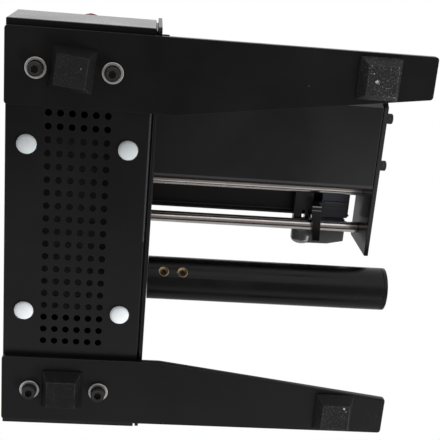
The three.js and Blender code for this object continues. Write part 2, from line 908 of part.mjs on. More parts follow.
// The gear motor sits on the inner face of the side plate
function addGearMotor(machine) {
  const face = plateLeft - seatGap;
  const gearboxEnd = face - gearboxLength;
  const motorEnd = gearboxEnd - motorLength;
  const boreDepth = motorShaftInset + seatGap;
  const boreRadius = motorShaftRadius + seatGap;
  const motor = turnedAlongX([
    [0, motorEnd - motorBossLength],
    [motorBossRadius, motorEnd - motorBossLength],
    [motorBossRadius, motorEnd],
    [motorRadius, motorEnd],
    [motorRadius, gearboxEnd],
    [gearboxRadius, gearboxEnd],
    [gearboxRadius, face],
    [boreRadius, face],
    [boreRadius, face - boreDepth],
    [0, face - boreDepth],
  ], takeUpY, takeUpZ, 24);
  place(machine, "gear_motor", motor, greyPlastic);
}

// The take-up tube turns as one with its cap, hub, set screws and the motor's shaft
function addTakeUp(machine) {
  const group = new THREE.Group();
  group.position.set(0, takeUpY, takeUpZ);
  group.rotation.x = -THREE.MathUtils.degToRad(setScrewTurnDegrees);
  machine.add(group);
  const bore = tubeRadius - tubeWall;
  const screwPlaces = [0, 1].map((i) => plateRight + setScrewFromPlate + i * setScrewSpacing);
  const outwards = [-tubeRadius - cutOverrun, 0];
  const tube = plateAlongX(
    circle(tubeRadius, 0, 0, 36),
    [tubeLeft, rightEnd - tubeCapLip - seatGap],
    [circle(bore, 0, 0, 24)],
  );
  const ringHoles = screwPlaces.map((x) => roundAlongZ(setScrewRingRadius + seatGap, outwards, x, 0, 20));
  place(group, "take_up_tube", cut(tube, ...ringHoles), blackPaint);
  const hub = plateAlongX(
    circle(bore - seatGap, 0, 0, 24),
    [tubeLeft, tubeLeft + hubLength],
    [circle(motorShaftRadius + seatGap, 0, 0, 20)],
  );
  const shankHoles = screwPlaces.map((x) => roundAlongZ(setScrewShankRadius + seatGap, outwards, x, 0, 12));
  const seats = screwPlaces.map((x) => {
    const depth = [-tubeRadius, -tubeRadius + setScrewRingHeight + tubeWall];
    return roundAlongZ(setScrewRingRadius + seatGap, depth, x, 0, 20);
  });
  place(group, "take_up_hub", cut(hub, ...shankHoles, ...seats), aluminium);
  const shaft = roundAlongX(motorShaftRadius, [plateLeft - motorShaftInset, tubeLeft + hubLength], 0, 0, 20);
  place(group, "take_up_shaft", shaft, brightSteel);
  const cap = turnedAlongX([
    [0, rightEnd - tubeCapLip - tubeCapDepth],
    [bore - seatGap, rightEnd - tubeCapLip - tubeCapDepth],
    [bore - seatGap, rightEnd - tubeCapLip],
    [tubeRadius, rightEnd - tubeCapLip],
    [tubeRadius, rightEnd],
    [0, rightEnd],
  ], 0, 0, 36);
  place(group, "take_up_cap", cap, blackPlastic);
  const ringTop = -tubeRadius + setScrewRingHeight;
  screwPlaces.forEach((x, i) => {
    const screw = turnedAlongZ([
      [0, -tubeRadius],
      [setScrewRingRadius, -tubeRadius],
      [setScrewRingRadius, ringTop],
      [setScrewShankRadius, ringTop],
      [setScrewShankRadius, -motorShaftRadius - seatGap],
      [0, -motorShaftRadius - seatGap],
    ], x, 0, 20);
    const depth = [-tubeRadius - cutOverrun, -tubeRadius + setScrewSocketDepth];
    const socket = roundAlongZ(setScrewSocketRadius, depth, x, 0, 6);
    place(group, `take_up_set_screw_${i + 1}`, cut(screw, socket), brass);
  });
}

// The supply spindle turns in a flanged bearing, held back by a sprung brake inside the housing
function addSpindleBearing(machine) {
  const face = plateRight + seatGap;
  const bearing = turnedAlongX([
    [journalRadius + seatGap, plateLeft - bearingBarrelDepth],
    [bearingBarrelRadius, plateLeft - bearingBarrelDepth],
    [bearingBarrelRadius, face],
    [bearingFlangeRadius, face],
    [bearingFlangeRadius, face + bearingFlangeThickness],
    [journalRadius + seatGap, face + bearingFlangeThickness],
    [journalRadius + seatGap, plateLeft - bearingBarrelDepth],
  ], spindleY, spindleZ);
  place(machine, "spindle_bearing", bearing, blackPlastic);
}

function addSupplySpindle(machine) {
  const shoulder = plateRight + bearingFlangeThickness + 2 * seatGap;
  const springRight = plateLeft - bearingBarrelDepth - seatGap;
  const springLength = brakeSpringTurns * brakeSpringPitch + 2 * brakeWireRadius;
  const nutRight = springRight - springLength - seatGap;
  const nutLeft = nutRight - brakeNutLength;
  const bore = journalRadius + seatGap;
  const spindle = turnedAlongX([
    [0, nutLeft - guideSpigotProud],
    [journalRadius, nutLeft - guideSpigotProud],
    [journalRadius, shoulder],
    [spindleRadius, shoulder],
    [spindleRadius, plateRight + spindleEndFromPlate],
    [0, plateRight + spindleEndFromPlate],
  ], spindleY, spindleZ);
  place(machine, "supply_spindle", spindle, aluminium);
  const spring = woundWire(brakeSpringRadius, brakeWireRadius, brakeSpringTurns, brakeSpringPitch);
  spring.translate(nutRight + seatGap + brakeWireRadius, spindleY, spindleZ);
  place(machine, "brake_spring", spring, brightSteel);
  const nut = plateAlongX(circle(brakeNutRadius, spindleY, spindleZ, 6), [nutLeft, nutRight], [
    circle(bore, spindleY, spindleZ, 24),
  ]);
  place(machine, "brake_nut", nut, brass);
}

// A roll disc with its hub; outward is the side of the disc that the hub stands on
function rollDisc(left, outward) {
  const discStart = outward > 0 ? left : left + discHubLength - discThickness;
  const bore = spindleRadius + seatGap;
  const holes = [circle(bore, spindleY, spindleZ, 24)];
  const disc = plateAlongX(
    circle(discRadius, spindleY, spindleZ, 36),
    [discStart, discStart + discThickness],
    holes,
  );
  const hub = plateAlongX(
    circle(discHubRadius, spindleY, spindleZ, 24),
    [left, left + discHubLength],
    holes,
  );
  return join(disc, hub);
}

function addRollDiscs(machine) {
  place(machine, "inner_roll_disc", rollDisc(plateRight + innerDiscFromPlate, -1), blackPlastic);
  const left = plateRight + outerDiscFromPlate;
  const screwX = left + discThickness + (discHubLength - discThickness) / 2;
  const shankFoot = spindleZ + spindleRadius + seatGap;
  const headFoot = spindleZ + discHubRadius + thumbScrewNeck;
  const hole = roundAlongZ(thumbScrewShankRadius + seatGap, [spindleZ, headFoot], screwX, spindleY, 12);
  place(machine, "outer_roll_disc", cut(rollDisc(left, 1), hole), blackPlastic);
  const screw = turnedAlongZ([
    [0, shankFoot],
    [thumbScrewShankRadius, shankFoot],
    [thumbScrewShankRadius, headFoot],
    [thumbScrewHeadRadius, headFoot],
    [thumbScrewHeadRadius, headFoot + thumbScrewHeadHeight],
    [0, headFoot + thumbScrewHeadHeight],
  ], screwX, spindleY, 16);
  place(machine, "disc_thumb_screw", screw, blackPlastic);
}

// The label table is one sheet: bottom, rising front, peeling nose, top and a short rear flange
function addLabelTable(machine) {
  const y = (front) => footFront + front;
  const bottom = padHeight + tableBottomHeight;
  const top = padHeight + tableTopHeight;
  const line = [
    [y(tableTopRear), top - tableRearFlange - tableSheet],
    [y(tableTopRear), top],
    [y(tableNoseFromFront), top],
    [y(tableBottomFront), bottom],
    [y(tableBottomRear), bottom],
  ];
  const span = [plateRight + seatGap, endPlateLeft - seatGap];
  const notch = block(
    [span[1] - tableNotchWidth, span[1] + cutOverrun],
    [y(tableNotchFront), y(tableTopRear) + cutOverrun],
    [top - tableRearFlange - tableSheet - cutOverrun, top + cutOverrun],
  );
  const table = plateAlongX(foldedOutline(line, tableSheet), span);
  place(machine, "label_table", cut(table, notch), blackPaint);
}

function addTableStiffener(machine) {
  const bottom = padHeight + tableBottomHeight + tableSheet + seatGap;
  const bar = block(
    [plateRight + seatGap, endPlateLeft - seatGap],
    [footFront + stiffenerFront, footFront + stiffenerRear],
    [bottom, bottom + stiffenerThickness],
  );
  const holes = tableScrewPlaces().flatMap(([y, z]) => [
    [plateRight - cutOverrun, plateRight + tableScrewReach],
    [endPlateLeft - tableScrewReach, endPlateLeft + cutOverrun],
  ].map((x) => roundAlongX(tableScrewShankRadius - seatGap / 2, x, y, z, 12)));
  place(machine, "table_stiffener", cut(bar, ...holes), aluminium);
}

function addEndPlate(machine) {
  const bottom = padHeight + tableBottomHeight;
  const top = padHeight + endPlateTopHeight;
  const rear = footFront + endPlateRear;
  const corners = [
    [footFront + tableBottomFront, bottom],
    [rear, bottom],
    [rear, top - endPlateCornerCut],
    [rear - endPlateCornerCut, top],
    [footFront + endPlateFront, top],
    [footFront + endPlateFront, padHeight + endPlateNoseHeight],
  ].map(([y, z]) => new THREE.Vector2(y, z));
  const holes = [
    ...rodPlaces().map(([y, z]) => circle(guideSpigotRadius + seatGap, y, z, 16)),
    ...tableScrewPlaces().map(([y, z]) => circle(tableScrewShankRadius + seatGap, y, z, 12)),
  ];
  place(machine, "end_plate", plateAlongX(corners, [endPlateLeft, endPlateRight], holes), blackPaint);
}

// Table screws: two through the end plate, two through the side plate from inside the housing
function addTableScrews(machine) {
  const screw = () => socketScrew(
    { radius: tableScrewHeadRadius, height: tableScrewHeadHeight },
    tableScrewShankRadius - seatGap,
    tableScrewReach,
    { radius: tableScrewSocketRadius, depth: tableScrewSocketDepth },
  );
  tableScrewPlaces().forEach(([y, z], i) => {
    const outer = place(machine, `end_plate_screw_${i + 1}`, screw(), blackSteel);
    outer.rotation.y = -Math.PI / 2;
    outer.position.set(endPlateRight + seatGap + tableScrewHeadHeight, y, z);
    const inner = place(machine, `side_plate_screw_${i + 1}`, screw(), blackSteel);
    inner.rotation.y = Math.PI / 2;
    inner.position.set(plateLeft - seatGap - tableScrewHeadHeight, y, z);
  });
}

// Guide rods: bright rods whose spigots sit in both plates
function addGuideRods(machine) {
  const names = ["front_guide_rod", "rear_guide_rod"];
  rodPlaces().forEach(([y, z], i) => {
    const rod = turnedAlongX([
      [0, plateLeft - guideSpigotProud],
      [guideSpigotRadius, plateLeft - guideSpigotProud],
      [guideSpigotRadius, plateRight + seatGap],
      [guideRodRadius, plateRight + seatGap],
      [guideRodRadius, endPlateLeft - seatGap],
      [guideSpigotRadius, endPlateLeft - seatGap],
      [guideSpigotRadius, endPlateRight + guideSpigotProud],
      [0, endPlateRight + guideSpigotProud],
    ], y, z, 24);
    place(machine, names[i], rod, chrome);
  });
}

// The bar above the table, with a fixed flange at its root and a label guide that slides on it
function addLabelGuide(machine) {
  const face = plateRight + seatGap;
  const bar = turnedAlongX([
    [0, plateLeft - guideSpigotProud],
    [guideSpigotRadius, plateLeft - guideSpigotProud],
    [guideSpigotRadius, face],
    [guideBarFlangeRadius, face],
    [guideBarFlangeRadius, face + guideBarFlangeThickness],
    [guideBarRadius, face + guideBarFlangeThickness],
    [guideBarRadius, plateRight + guideBarLength],
    [0, plateRight + guideBarLength],
  ], guideBarY, guideBarZ, 24);
  place(machine, "guide_bar", bar, chrome);
  const left = plateRight + labelGuideFromPlate;
  const bore = circle(guideBarRadius + seatGap, guideBarY, guideBarZ, 20);
  const flange = plateAlongX(
    circle(labelGuideRadius, guideBarY, guideBarZ, 32),
    [left, left + labelGuideThickness],
    [bore],
  );
  const hub = plateAlongX(
    circle(labelGuideHubRadius, guideBarY, guideBarZ, 24),
    [left, left + labelGuideLength],
    [bore],
  );
  place(machine, "label_guide", join(flange, hub), blackPlastic);
}

// The sensor holder lies on the guide rods, and its strap hooks round the rear one
function addSensorHolder(machine) {
  const x = (fromLeft) => leftEnd + fromLeft;
  const y = (front) => footFront + front;
  const rodY = y(rearRodFromFront);
  const hookGap = guideRodRadius + seatGap;
  const level = [guideRodZ + hookGap, guideRodZ + hookGap + sensorLevelThickness];
  const rodRear = rodY + hookGap;
  const cheek = plateAlongZ(rounded([
    [x(sensorFromLeft), y(sensorFront), sensorBodyCorner],
    [x(sensorRibEnd), y(sensorFront), sensorBodyCorner],
    [x(sensorRibEnd), rodRear],
    [x(sensorFromLeft), rodRear],
  ]), level);
  const strapBottom = guideRodZ - hookGap - sensorStrapThickness;
  const notches = sensorNotches.map((span) => block(
    span.map(x),
    [y(sensorNotchFront), y(sensorNotchRear)],
    [strapBottom + sensorStrapThickness, level[1] + cutOverrun],
  ));
  const body = plateAlongZ(rounded([
    [x(sensorBodyFromLeft), y(sensorFront)],
    [x(sensorBodyEnd), y(sensorFront), sensorBodyCorner],
    [x(sensorBodyEnd), y(sensorBodyRear), sensorBodyCorner],
    [x(sensorBodyFromLeft), y(sensorBodyRear)],
  ]), level);
  const bridge = block(
    [x(sensorRibEnd) - sensorBodyCorner, x(sensorBodyFromLeft) + sensorBodyCorner],
    [y(sensorStrapFront), rodRear],
    level,
  );
  const web = plateAlongZ(rounded([
    [x(sensorRibEnd) - sensorBodyCorner, rodY - hookGap],
    [x(sensorWebEnd), rodY - hookGap, sensorBodyCorner],
    [x(sensorWebEnd), y(sensorWebEndRear), sensorWebCorner],
    [x(sensorWebBend), y(sensorWebRear)],
    [x(sensorFromLeft) + sensorBarrelRadius, y(sensorWebRear)],
    [x(sensorFromLeft) + sensorBarrelRadius, rodRear],
  ]), [level[0] - sensorWebDrop, level[1]]);
  const barrelSpan = [rodY, y(sensorRear)];
  const barrel = sensorBarrel(x(sensorFromLeft) + sensorBarrelRadius, barrelSpan, level[0]);
  const strap = plateAlongZ([
    new THREE.Vector2(x(sensorStrapFromLeft), y(sensorStrapFront)),
    new THREE.Vector2(x(sensorStrapFromLeft) + sensorStrapWidth, y(sensorStrapFront)),
    new THREE.Vector2(x(sensorStrapRearFromLeft) + sensorStrapRearWidth, y(sensorStrapRear)),
    new THREE.Vector2(x(sensorStrapRearFromLeft), y(sensorStrapRear)),
  ], [strapBottom, level[1]]);
  const rodSpace = block(
    [x(sensorFromLeft) - cutOverrun, x(sensorBodyEnd) + cutOverrun],
    [rodY - hookGap, rodRear],
    [guideRodZ - hookGap, level[0]],
  );
  const frontSpace = block(
    [x(sensorFromLeft) - cutOverrun, x(sensorStrapFromLeft)],
    [rodY - hookGap - cutOverrun, rodRear],
    [level[0] - sensorBarrelRadius, level[0]],
  );
  const whole = join(cheek, body, bridge, web, barrel, strap);
  place(machine, "sensor_holder", cut(whole, rodSpace, frontSpace, ...notches), blackPlastic);
}

// The holder's round left end: a barrel along Y with a rounded rear end
function sensorBarrel(x, y, level) {
  const radius = sensorBarrelRadius;
  const z = level - sensorBarrelDrop + radius;
  const core = radius - sensorBarrelRounding;
  const rim = [4, 3, 2, 1, 0].map((k) => {
    const turn = (k * Math.PI) / 8;
    return new THREE.Vector2(
      core + sensorBarrelRounding * Math.sin(turn),
      y[1] - sensorBarrelRounding * (1 - Math.cos(turn)),
    );
  });
  const profile = [
    new THREE.Vector2(0, y[0]),
    new THREE.Vector2(radius, y[0]),
    ...rim,
    new THREE.Vector2(0, y[1]),
  ];
  return new THREE.LatheGeometry(profile, 24).translate(x, 0, z);
}

// The forked sensor stands on the holder's rear; the label web passes between its arms
function addSensorFork(machine) {
  const left = leftEnd + sensorForkFromLeft;
  const right = leftEnd + sensorForkEnd;
  const bottom = guideRodZ + guideRodRadius + seatGap + sensorLevelThickness + seatGap;
  const top = bottom + 2 * sensorArmThickness + sensorSlot;
  const y = [footFront + sensorForkFront, footFront + sensorWebRear];
  const fork = cut(
    block([left, right], y, [bottom, top]),
    block(
      [left - cutOverrun, right - sensorSpineWidth],
      [y[0] - cutOverrun, y[1] + cutOverrun],
      [bottom + sensorArmThickness, bottom + sensorArmThickness + sensorSlot],
    ),
  );
  place(machine, "sensor_fork", fork, blackPlastic);
}

// Controls, each in the sloped panel's own frame
function addPowerSwitch(panel) {
  const x = leftEnd + powerSwitchFromLeft;
  const y = powerSwitchUp;
  const body = turnedAlongZ([
    [0, -switchBodyDepth],
    [switchBodyRadius, -switchBodyDepth],
    [switchBodyRadius, seatGap],
    [switchFlangeRadius, seatGap],
    [switchFlangeRadius, switchFlangeThickness],
    [switchWellRadius, switchFlangeThickness],
    [switchWellRadius, switchFlangeThickness - switchWellDepth],
    [0, switchFlangeThickness - switchWellDepth],
  ], x, y, 32);
  place(panel, "power_switch_body", body, blackPlastic);
  const half = rockerRadius;
  const profile = [
    [y - half, 0],
    [y - rockerPivotRadius, -rockerRoot],
    [y + rockerPivotRadius, -rockerRoot],
    [y + half, 0],
    [y + half, rockerLowLip],
    [y, rockerMiddle],
    [y - half, rockerHighLip],
  ].map(([u, v]) => new THREE.Vector2(u, v));
  const slab = plateAlongX(profile, [x - half, x + half]);
  const barrel = roundAlongZ(rockerRadius, [-rockerRoot, rockerHighLip], x, y, 32);
  place(panel, "power_rocker", overlap(slab, barrel), redPlastic);
}

function addButtons(panel) {
  const inner = -sheetThickness - seatGap;
  buttonPlaces().forEach(([x, y], i) => {
    const button = turnedAlongZ([
      [0, inner - buttonFlangeThickness],
      [buttonFlangeRadius, inner - buttonFlangeThickness],
      [buttonFlangeRadius, inner],
      [buttonRadius, inner],
      [buttonRadius, buttonProud],
      [0, buttonProud],
    ], x, y, 24);
    place(panel, `button_${i + 1}`, button, greyPlastic);
  });
}

// The panel board stands on four posts behind the buttons and carries their keys and the knob's pot
function addPanelBoard(panel) {
  const behind = -sheetThickness - seatGap;
  const top = behind - panelBoardDepth;
  const level = [top - panelBoardThickness, top];
  const places = buttonPlaces();
  const knobX = (housingLeft + housingRight) / 2;
  const spanX = [places[0][0] - panelBoardMargin, places[buttonCount - 1][0] + panelBoardMargin];
  const spanY = [buttonUp - panelBoardMargin, knobUp + panelBoardMargin];
  const board = block(spanX, spanY, level);
  const posts = spanX.flatMap((edgeX, i) => spanY.map((edgeY, k) => roundAlongZ(
    panelPostRadius,
    [level[0], behind],
    edgeX + (i === 0 ? panelPostRadius : -panelPostRadius),
    edgeY + (k === 0 ? panelPostRadius : -panelPostRadius),
    12,
  )));
  const keyTop = behind - buttonFlangeThickness - buttonTravel - keyGap;
  const keys = places.map(([x, y]) => roundAlongZ(keyRadius, [level[0], keyTop], x, y, 16));
  const pot = roundAlongZ(potRadius, [level[0], top + potHeight], knobX, knobUp, 24);
  place(panel, "panel_board", join(board, ...posts, ...keys, pot), circuitBoard);
}

function addSpeedKnob(panel) {
  const x = (housingLeft + housingRight) / 2;
  const y = knobUp;
  const foot = -sheetThickness - seatGap - panelBoardDepth + potHeight + seatGap;
  const knob = turnedAlongZ([
    [0, foot],
    [knobShaftRadius, foot],
    [knobShaftRadius, seatGap],
    [knobRadius, seatGap],
    [knobRadius, knobSkirtHeight],
    [knobTopRadius, knobSkirtHeight + cutOverrun],
    [knobTopRadius, knobHeight],
    [0, knobHeight],
  ], x, y, 36);
  const pointer = block(
    [x - knobPointerWidth / 2, x + knobPointerWidth / 2],
    [y, y + knobTopRadius + cutOverrun],
    [knobHeight - knobPointerDepth, knobHeight + cutOverrun],
  );
  place(panel, "speed_knob", cut(knob, pointer), blackPlastic);
}

function addDisplayWindow(panel) {
  const [x, y] = windowSpans(0);
  const [flangeX, flangeY] = windowSpans(windowFlange);
  const back = -sheetThickness - seatGap;
  const lens = block(x, y, [back - windowDepth, windowProud]);
  const flange = block(flangeX, flangeY, [back - windowDepth, back]);
  place(panel, "display_window", join(lens, flange), darkRedWindow);
}

function buildMachine() {
  const machine = new THREE.Group();
  for (const [side, label] of [[-1, "front"], [1, "rear"]]) {
    addFoot(machine, side, label);
    addPads(machine, side, label);
    addFootBolts(machine, side, label);
  }
  addBasePlate(machine);
  addPillars(machine);
  addControlBoard(machine);
  addPowerSupply(machine);
  addCover(machine);
  addLeftPanel(machine);
  addRearPanel(machine);
  addPowerInlet(machine);
  addSidePlate(machine);
  addGearMotor(machine);
  addTakeUp(machine);
  addSpindleBearing(machine);
  addSupplySpindle(machine);
  addRollDiscs(machine);
  addLabelTable(machine);
  addTableStiffener(machine);
  addEndPlate(machine);
  addTableScrews(machine);
  addGuideRods(machine);
  addLabelGuide(machine);
  addSensorHolder(machine);
  addSensorFork(machine);
  const panel = new THREE.Group();
  panel.position.set(0, housingFront, slopeStart);
  panel.rotation.x = Math.PI / 2 - slopeLean;
  machine.add(panel);
  addPowerSwitch(panel);
  addButtons(panel);
  addPanelBoard(panel);
  addSpeedKnob(panel);
  addDisplayWindow(panel);
  return machine;
}

// The machine stands on the desk at z = 0, with the origin below the middle of its outline
const machine = buildMachine();
const outline = new THREE.Box3().setFromObject(machine);
const centre = outline.getCenter(new THREE.Vector3());
machine.position.set(-centre.x, -centre.y, -outline.min.z);
export default machine;
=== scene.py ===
import json
import math

import bmesh
import bpy
from mathutils import Matrix, Vector


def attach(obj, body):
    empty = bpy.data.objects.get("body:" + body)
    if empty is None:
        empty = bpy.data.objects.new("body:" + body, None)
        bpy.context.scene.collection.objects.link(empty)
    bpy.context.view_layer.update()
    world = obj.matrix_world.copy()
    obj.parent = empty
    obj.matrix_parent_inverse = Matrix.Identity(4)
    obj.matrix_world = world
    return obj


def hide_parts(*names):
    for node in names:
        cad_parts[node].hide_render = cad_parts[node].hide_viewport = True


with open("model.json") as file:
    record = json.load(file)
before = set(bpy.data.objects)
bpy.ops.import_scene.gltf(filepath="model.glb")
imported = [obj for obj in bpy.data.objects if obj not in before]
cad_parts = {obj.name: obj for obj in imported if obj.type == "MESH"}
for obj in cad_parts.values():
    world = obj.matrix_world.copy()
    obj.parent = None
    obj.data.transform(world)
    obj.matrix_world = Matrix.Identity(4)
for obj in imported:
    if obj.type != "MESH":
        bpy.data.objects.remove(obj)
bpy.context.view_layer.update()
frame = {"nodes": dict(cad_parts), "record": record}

nodes = frame["nodes"]
MM = 0.001

# Camera: where the photograph was taken from, below the machine
SENSOR_WIDTH = 36
LENS = 73.64
CAMERA_PLACE = Vector((-0.04475, -0.1899, -0.5086))
CAMERA_RIGHT = Vector((0.99428, -0.08353, -0.06656))
CAMERA_DOWN = Vector((0.05816, 0.94613, -0.31851))
CAMERA_AHEAD = Vector((0.08958, 0.31282, 0.94558))
CLIP_START = 0.01
CLIP_END = 20


def make_camera():
    data = bpy.data.cameras.new("camera")
    data.sensor_width = SENSOR_WIDTH
    data.lens = LENS
    data.clip_start = CLIP_START
    data.clip_end = CLIP_END
    camera = bpy.data.objects.new("camera", data)
    bpy.context.scene.collection.objects.link(camera)
    turn = Matrix((CAMERA_RIGHT, -CAMERA_DOWN, -CAMERA_AHEAD)).transposed().to_4x4()
    camera.matrix_world = Matrix.Translation(CAMERA_PLACE) @ turn
    bpy.context.scene.camera = camera


# Node helpers
MIX_FIRST, MIX_SECOND, MIX_RESULT = 6, 7, 2  # the Mix node's colour sockets
EDGE_SAMPLES = 6
EDGE_FLAT = 0.995  # cosines between the plain and the bevelled normal, off an edge and on it
EDGE_SHARP = 0.8
RAGGED_REACH = 4  # how far noise shifts a patch's rim, in radii
PATCH_CORE = 0.7  # the share of a patch's radius that doesn't fade


class Graph:
    """A node tree with short calls for the nodes used here."""

    def __init__(self, tree):
        self.tree = tree
        tree.nodes.clear()

    def add(self, kind, **values):
        node = self.tree.nodes.new(kind)
        for key, value in values.items():
            setattr(node, key, value)
        return node

    def link(self, out, into):
        self.tree.links.new(out, into)

    def put(self, socket, value):
        if isinstance(value, bpy.types.NodeSocket):
            self.link(value, socket)
        else:
            socket.default_value = value

    def math(self, operation, a, b=0.0, clamp=False):
        node = self.add("ShaderNodeMath", operation=operation, use_clamp=clamp)
        self.put(node.inputs[0], a)
        self.put(node.inputs[1], b)
        return node.outputs[0]

    def place(self):
        return self.add("ShaderNodeTexCoord").outputs["Object"]

    def stretched(self, scale):
        node = self.add("ShaderNodeMapping")
        node.inputs["Scale"].default_value = scale
        self.link(self.place(), node.inputs["Vector"])
        return node.outputs[0]

    def noise(self, scale, detail=2.0, roughness=0.5, vector=None):
        node = self.add("ShaderNodeTexNoise")
        node.inputs["Scale"].default_value = scale
        node.inputs["Detail"].default_value = detail
        node.inputs["Roughness"].default_value = roughness
        self.link(vector or self.place(), node.inputs["Vector"])
        return node.outputs["Fac"]

    def cells(self, scale, feature="F1"):
        node = self.add("ShaderNodeTexVoronoi", feature=feature)
        node.inputs["Scale"].default_value = scale
        self.link(self.place(), node.inputs["Vector"])
        return node.outputs["Distance"]

    def ramp(self, factor, low, high, from_value=0.0, to_value=1.0):
        node = self.add("ShaderNodeMapRange", clamp=True)
        self.put(node.inputs["Value"], factor)
        node.inputs["From Min"].default_value = low
        node.inputs["From Max"].default_value = high
        node.inputs["To Min"].default_value = from_value
        node.inputs["To Max"].default_value = to_value
        return node.outputs["Result"]

    def blend(self, factor, first, second):
        node = self.add("ShaderNodeMix", data_type="RGBA")
        self.put(node.inputs["Factor"], factor)
        self.put(node.inputs[MIX_FIRST], first)
        self.put(node.inputs[MIX_SECOND], second)
        return node.outputs[MIX_RESULT]

    def bump(self, height, distance, strength=1.0):
        node = self.add("ShaderNodeBump")
        node.inputs["Distance"].default_value = distance
        node.inputs["Strength"].default_value = strength
        self.link(height, node.inputs["Height"])
        return node.outputs[0]

    def edges(self, radius):
        """1 on a rim as wide as radius round every sharp edge, 0 elsewhere."""
        bevel = self.add("ShaderNodeBevel", samples=EDGE_SAMPLES)
        bevel.inputs["Radius"].default_value = radius
        plain = self.add("ShaderNodeNewGeometry").outputs["Normal"]
        node = self.add("ShaderNodeVectorMath", operation="DOT_PRODUCT")
        self.link(bevel.outputs[0], node.inputs[0])
        self.link(plain, node.inputs[1])
        return self.ramp(node.outputs["Value"], EDGE_FLAT, EDGE_SHARP)

    def near(self, spot, radius, ragged):
        """1 in a ragged patch round a point on the object, 0 elsewhere, in metres."""
        node = self.add("ShaderNodeVectorMath", operation="DISTANCE")
        self.link(self.place(), node.inputs[0])
        node.inputs[1].default_value = spot
        middled = self.math("SUBTRACT", ragged, 0.5)
        uneven = self.math("MULTIPLY", middled, radius * RAGGED_REACH)
        away = self.math("ADD", node.outputs["Value"], uneven)
        return self.ramp(away, radius, radius * PATCH_CORE)

    def beyond(self, axis, low, high):
        """0 below a place along an axis of the object, 1 above another, in metres."""
        split = self.add("ShaderNodeSeparateXYZ")
        self.link(self.place(), split.inputs[0])
        return self.ramp(split.outputs[axis], low, high)

    def inside(self, low, high, soft):
        """1 inside a box on the object, fading to 0 over a width outside it, in metres."""
        split = self.add("ShaderNodeSeparateXYZ")
        self.link(self.place(), split.inputs[0])
        found = 1.0
        for axis in range(3):
            at = split.outputs[axis]
            found = self.math("MULTIPLY", found, self.ramp(at, low[axis] - soft, low[axis]))
            found = self.math("MULTIPLY", found, self.ramp(at, high[axis] + soft, high[axis]))
        return found


def grey(value, tint=(1.0, 1.0, 1.0)):
    return (value * tint[0], value * tint[1], value * tint[2], 1.0)


def material(name, build, **constants):
    made = bpy.data.materials.new(name)
    made.use_nodes = True
    graph = Graph(made.node_tree)
    shader = graph.add("ShaderNodeBsdfPrincipled")
    output = graph.add("ShaderNodeOutputMaterial")
    graph.link(shader.outputs[0], output.inputs["Surface"])
    for key, value in constants.items():
        shader.inputs[key.replace("_", " ")].default_value = value
    for key, value in build(graph).items():
        graph.put(shader.inputs[key], value)
    return made


# Materials: tints
BLACK_TINT = (0.98, 0.98, 1.04)
COOL_TINT = (0.86, 0.98, 1.2)
TUBE_TINT = (0.96, 1.0, 1.06)
PLASTIC_TINT = (0.95, 1.0, 1.08)
KEY_TINT = (0.98, 1.0, 1.02)
STEEL_TINT = (1.0, 0.98, 0.96)
ALUMINIUM_TINT = (0.99, 1.0, 1.01)
BRASS_TINT = (1.0, 0.78, 0.52)
CHROME_TINT = (1.0, 0.965, 0.94)
SHADED_NYLON_TINT = (0.98, 1.0, 1.01)

# Shades of what lies on a surface or shows through it, and of painted highlights on edges: the
# worn paint and the rubber's dust serve as both
PAINT_DUST = 0.16
WORN_PAINT_AND_HIGHLIGHT = 0.05
RUBBER_DUST_AND_HIGHLIGHT = 0.2

# Shades and colours of single finishes, each from its darker to its paler one
BLOCK_SHADES = (0.045, 0.065)
# Painted shade on the holder's front left, and a rear that is paler partly as painted reflection
HOLDER_SHADED_LEFT = 0.02
HOLDER_REAR_AND_REFLECTION = (0.16, 0.4)
HOLDER_STRAP = 0.012
HOLDER_RUBBED = 0.14
# Painted shade inside the screws' sockets
SOCKET_SHADES = (0.003, 0.012)
# The plugs' painted shade at the front and painted light at the rear
SHADED_NYLON = (0.56, 0.62)
LIT_NYLON = (0.87, 0.92)
BOARD_MASK = ((0.025, 0.026, 0.0265, 1), (0.042, 0.0437, 0.0443, 1))
BOARD_PAD = (0.09, 0.088, 0.082, 1)
WINDOW_REDS = ((0.05, 0.004, 0.006, 1), (0.075, 0.006, 0.009, 1))
SEGMENT_REDS = ((0.14, 0.016, 0.018, 1), (0.18, 0.024, 0.026, 1))
ROCKER_REDS = ((0.3, 0.008, 0.012, 1), (0.36, 0.012, 0.016, 1))

# Bump heights, in metres
PEEL_HEIGHT = 0.00004
GRAIN_HEIGHT = 0.00003
FINE_HEIGHT = 0.00002
LINE_HEIGHT = 0.000012
LINE_SCALE = (6.0, 1600.0, 1600.0)  # long and narrow noise, for lines along X
RUBBER_HEIGHT = 0.00008

# Widths of the rims along sharp edges, in metres
PAINT_RIM = 0.0005
PLASTIC_RIM = 0.0006
GLOSS_RIM = 0.0005
RUBBER_RIM = 0.001
PLATING_RIM = 0.0003

# Where finishes change, along an axis of the object from one place to another, in metres
PAD_WALL = ("Z", 0.0003, 0.001)
PAD_RIM_END = ("Z", 0.0075, 0.006)
BLOCK_START = ("X", 0.0805, 0.0815)
BLOCK_REAR = ("Y", 0.0162, 0.0168)
STRAP_TOP = ("Z", 0.0994, 0.1)
# Where the plugs turn from painted shade to painted light
LIT_PLUGS = ("Y", -0.06, 0.075)
# Where the pads' painted shade gives way to painted light, towards the side the light comes from
ROOT_TO_TIP_LIT = ("X", -0.1, 0.1)
FRONT_ROOT_LIT = ("X", -0.088, -0.08)
FRONT_TIP_LIT = ("X", 0.076, 0.085)
REAR_ROOT_LIT = ("Y", 0.103, 0.0955)
REAR_TIP_LIT = ("X", 0.072, 0.084)
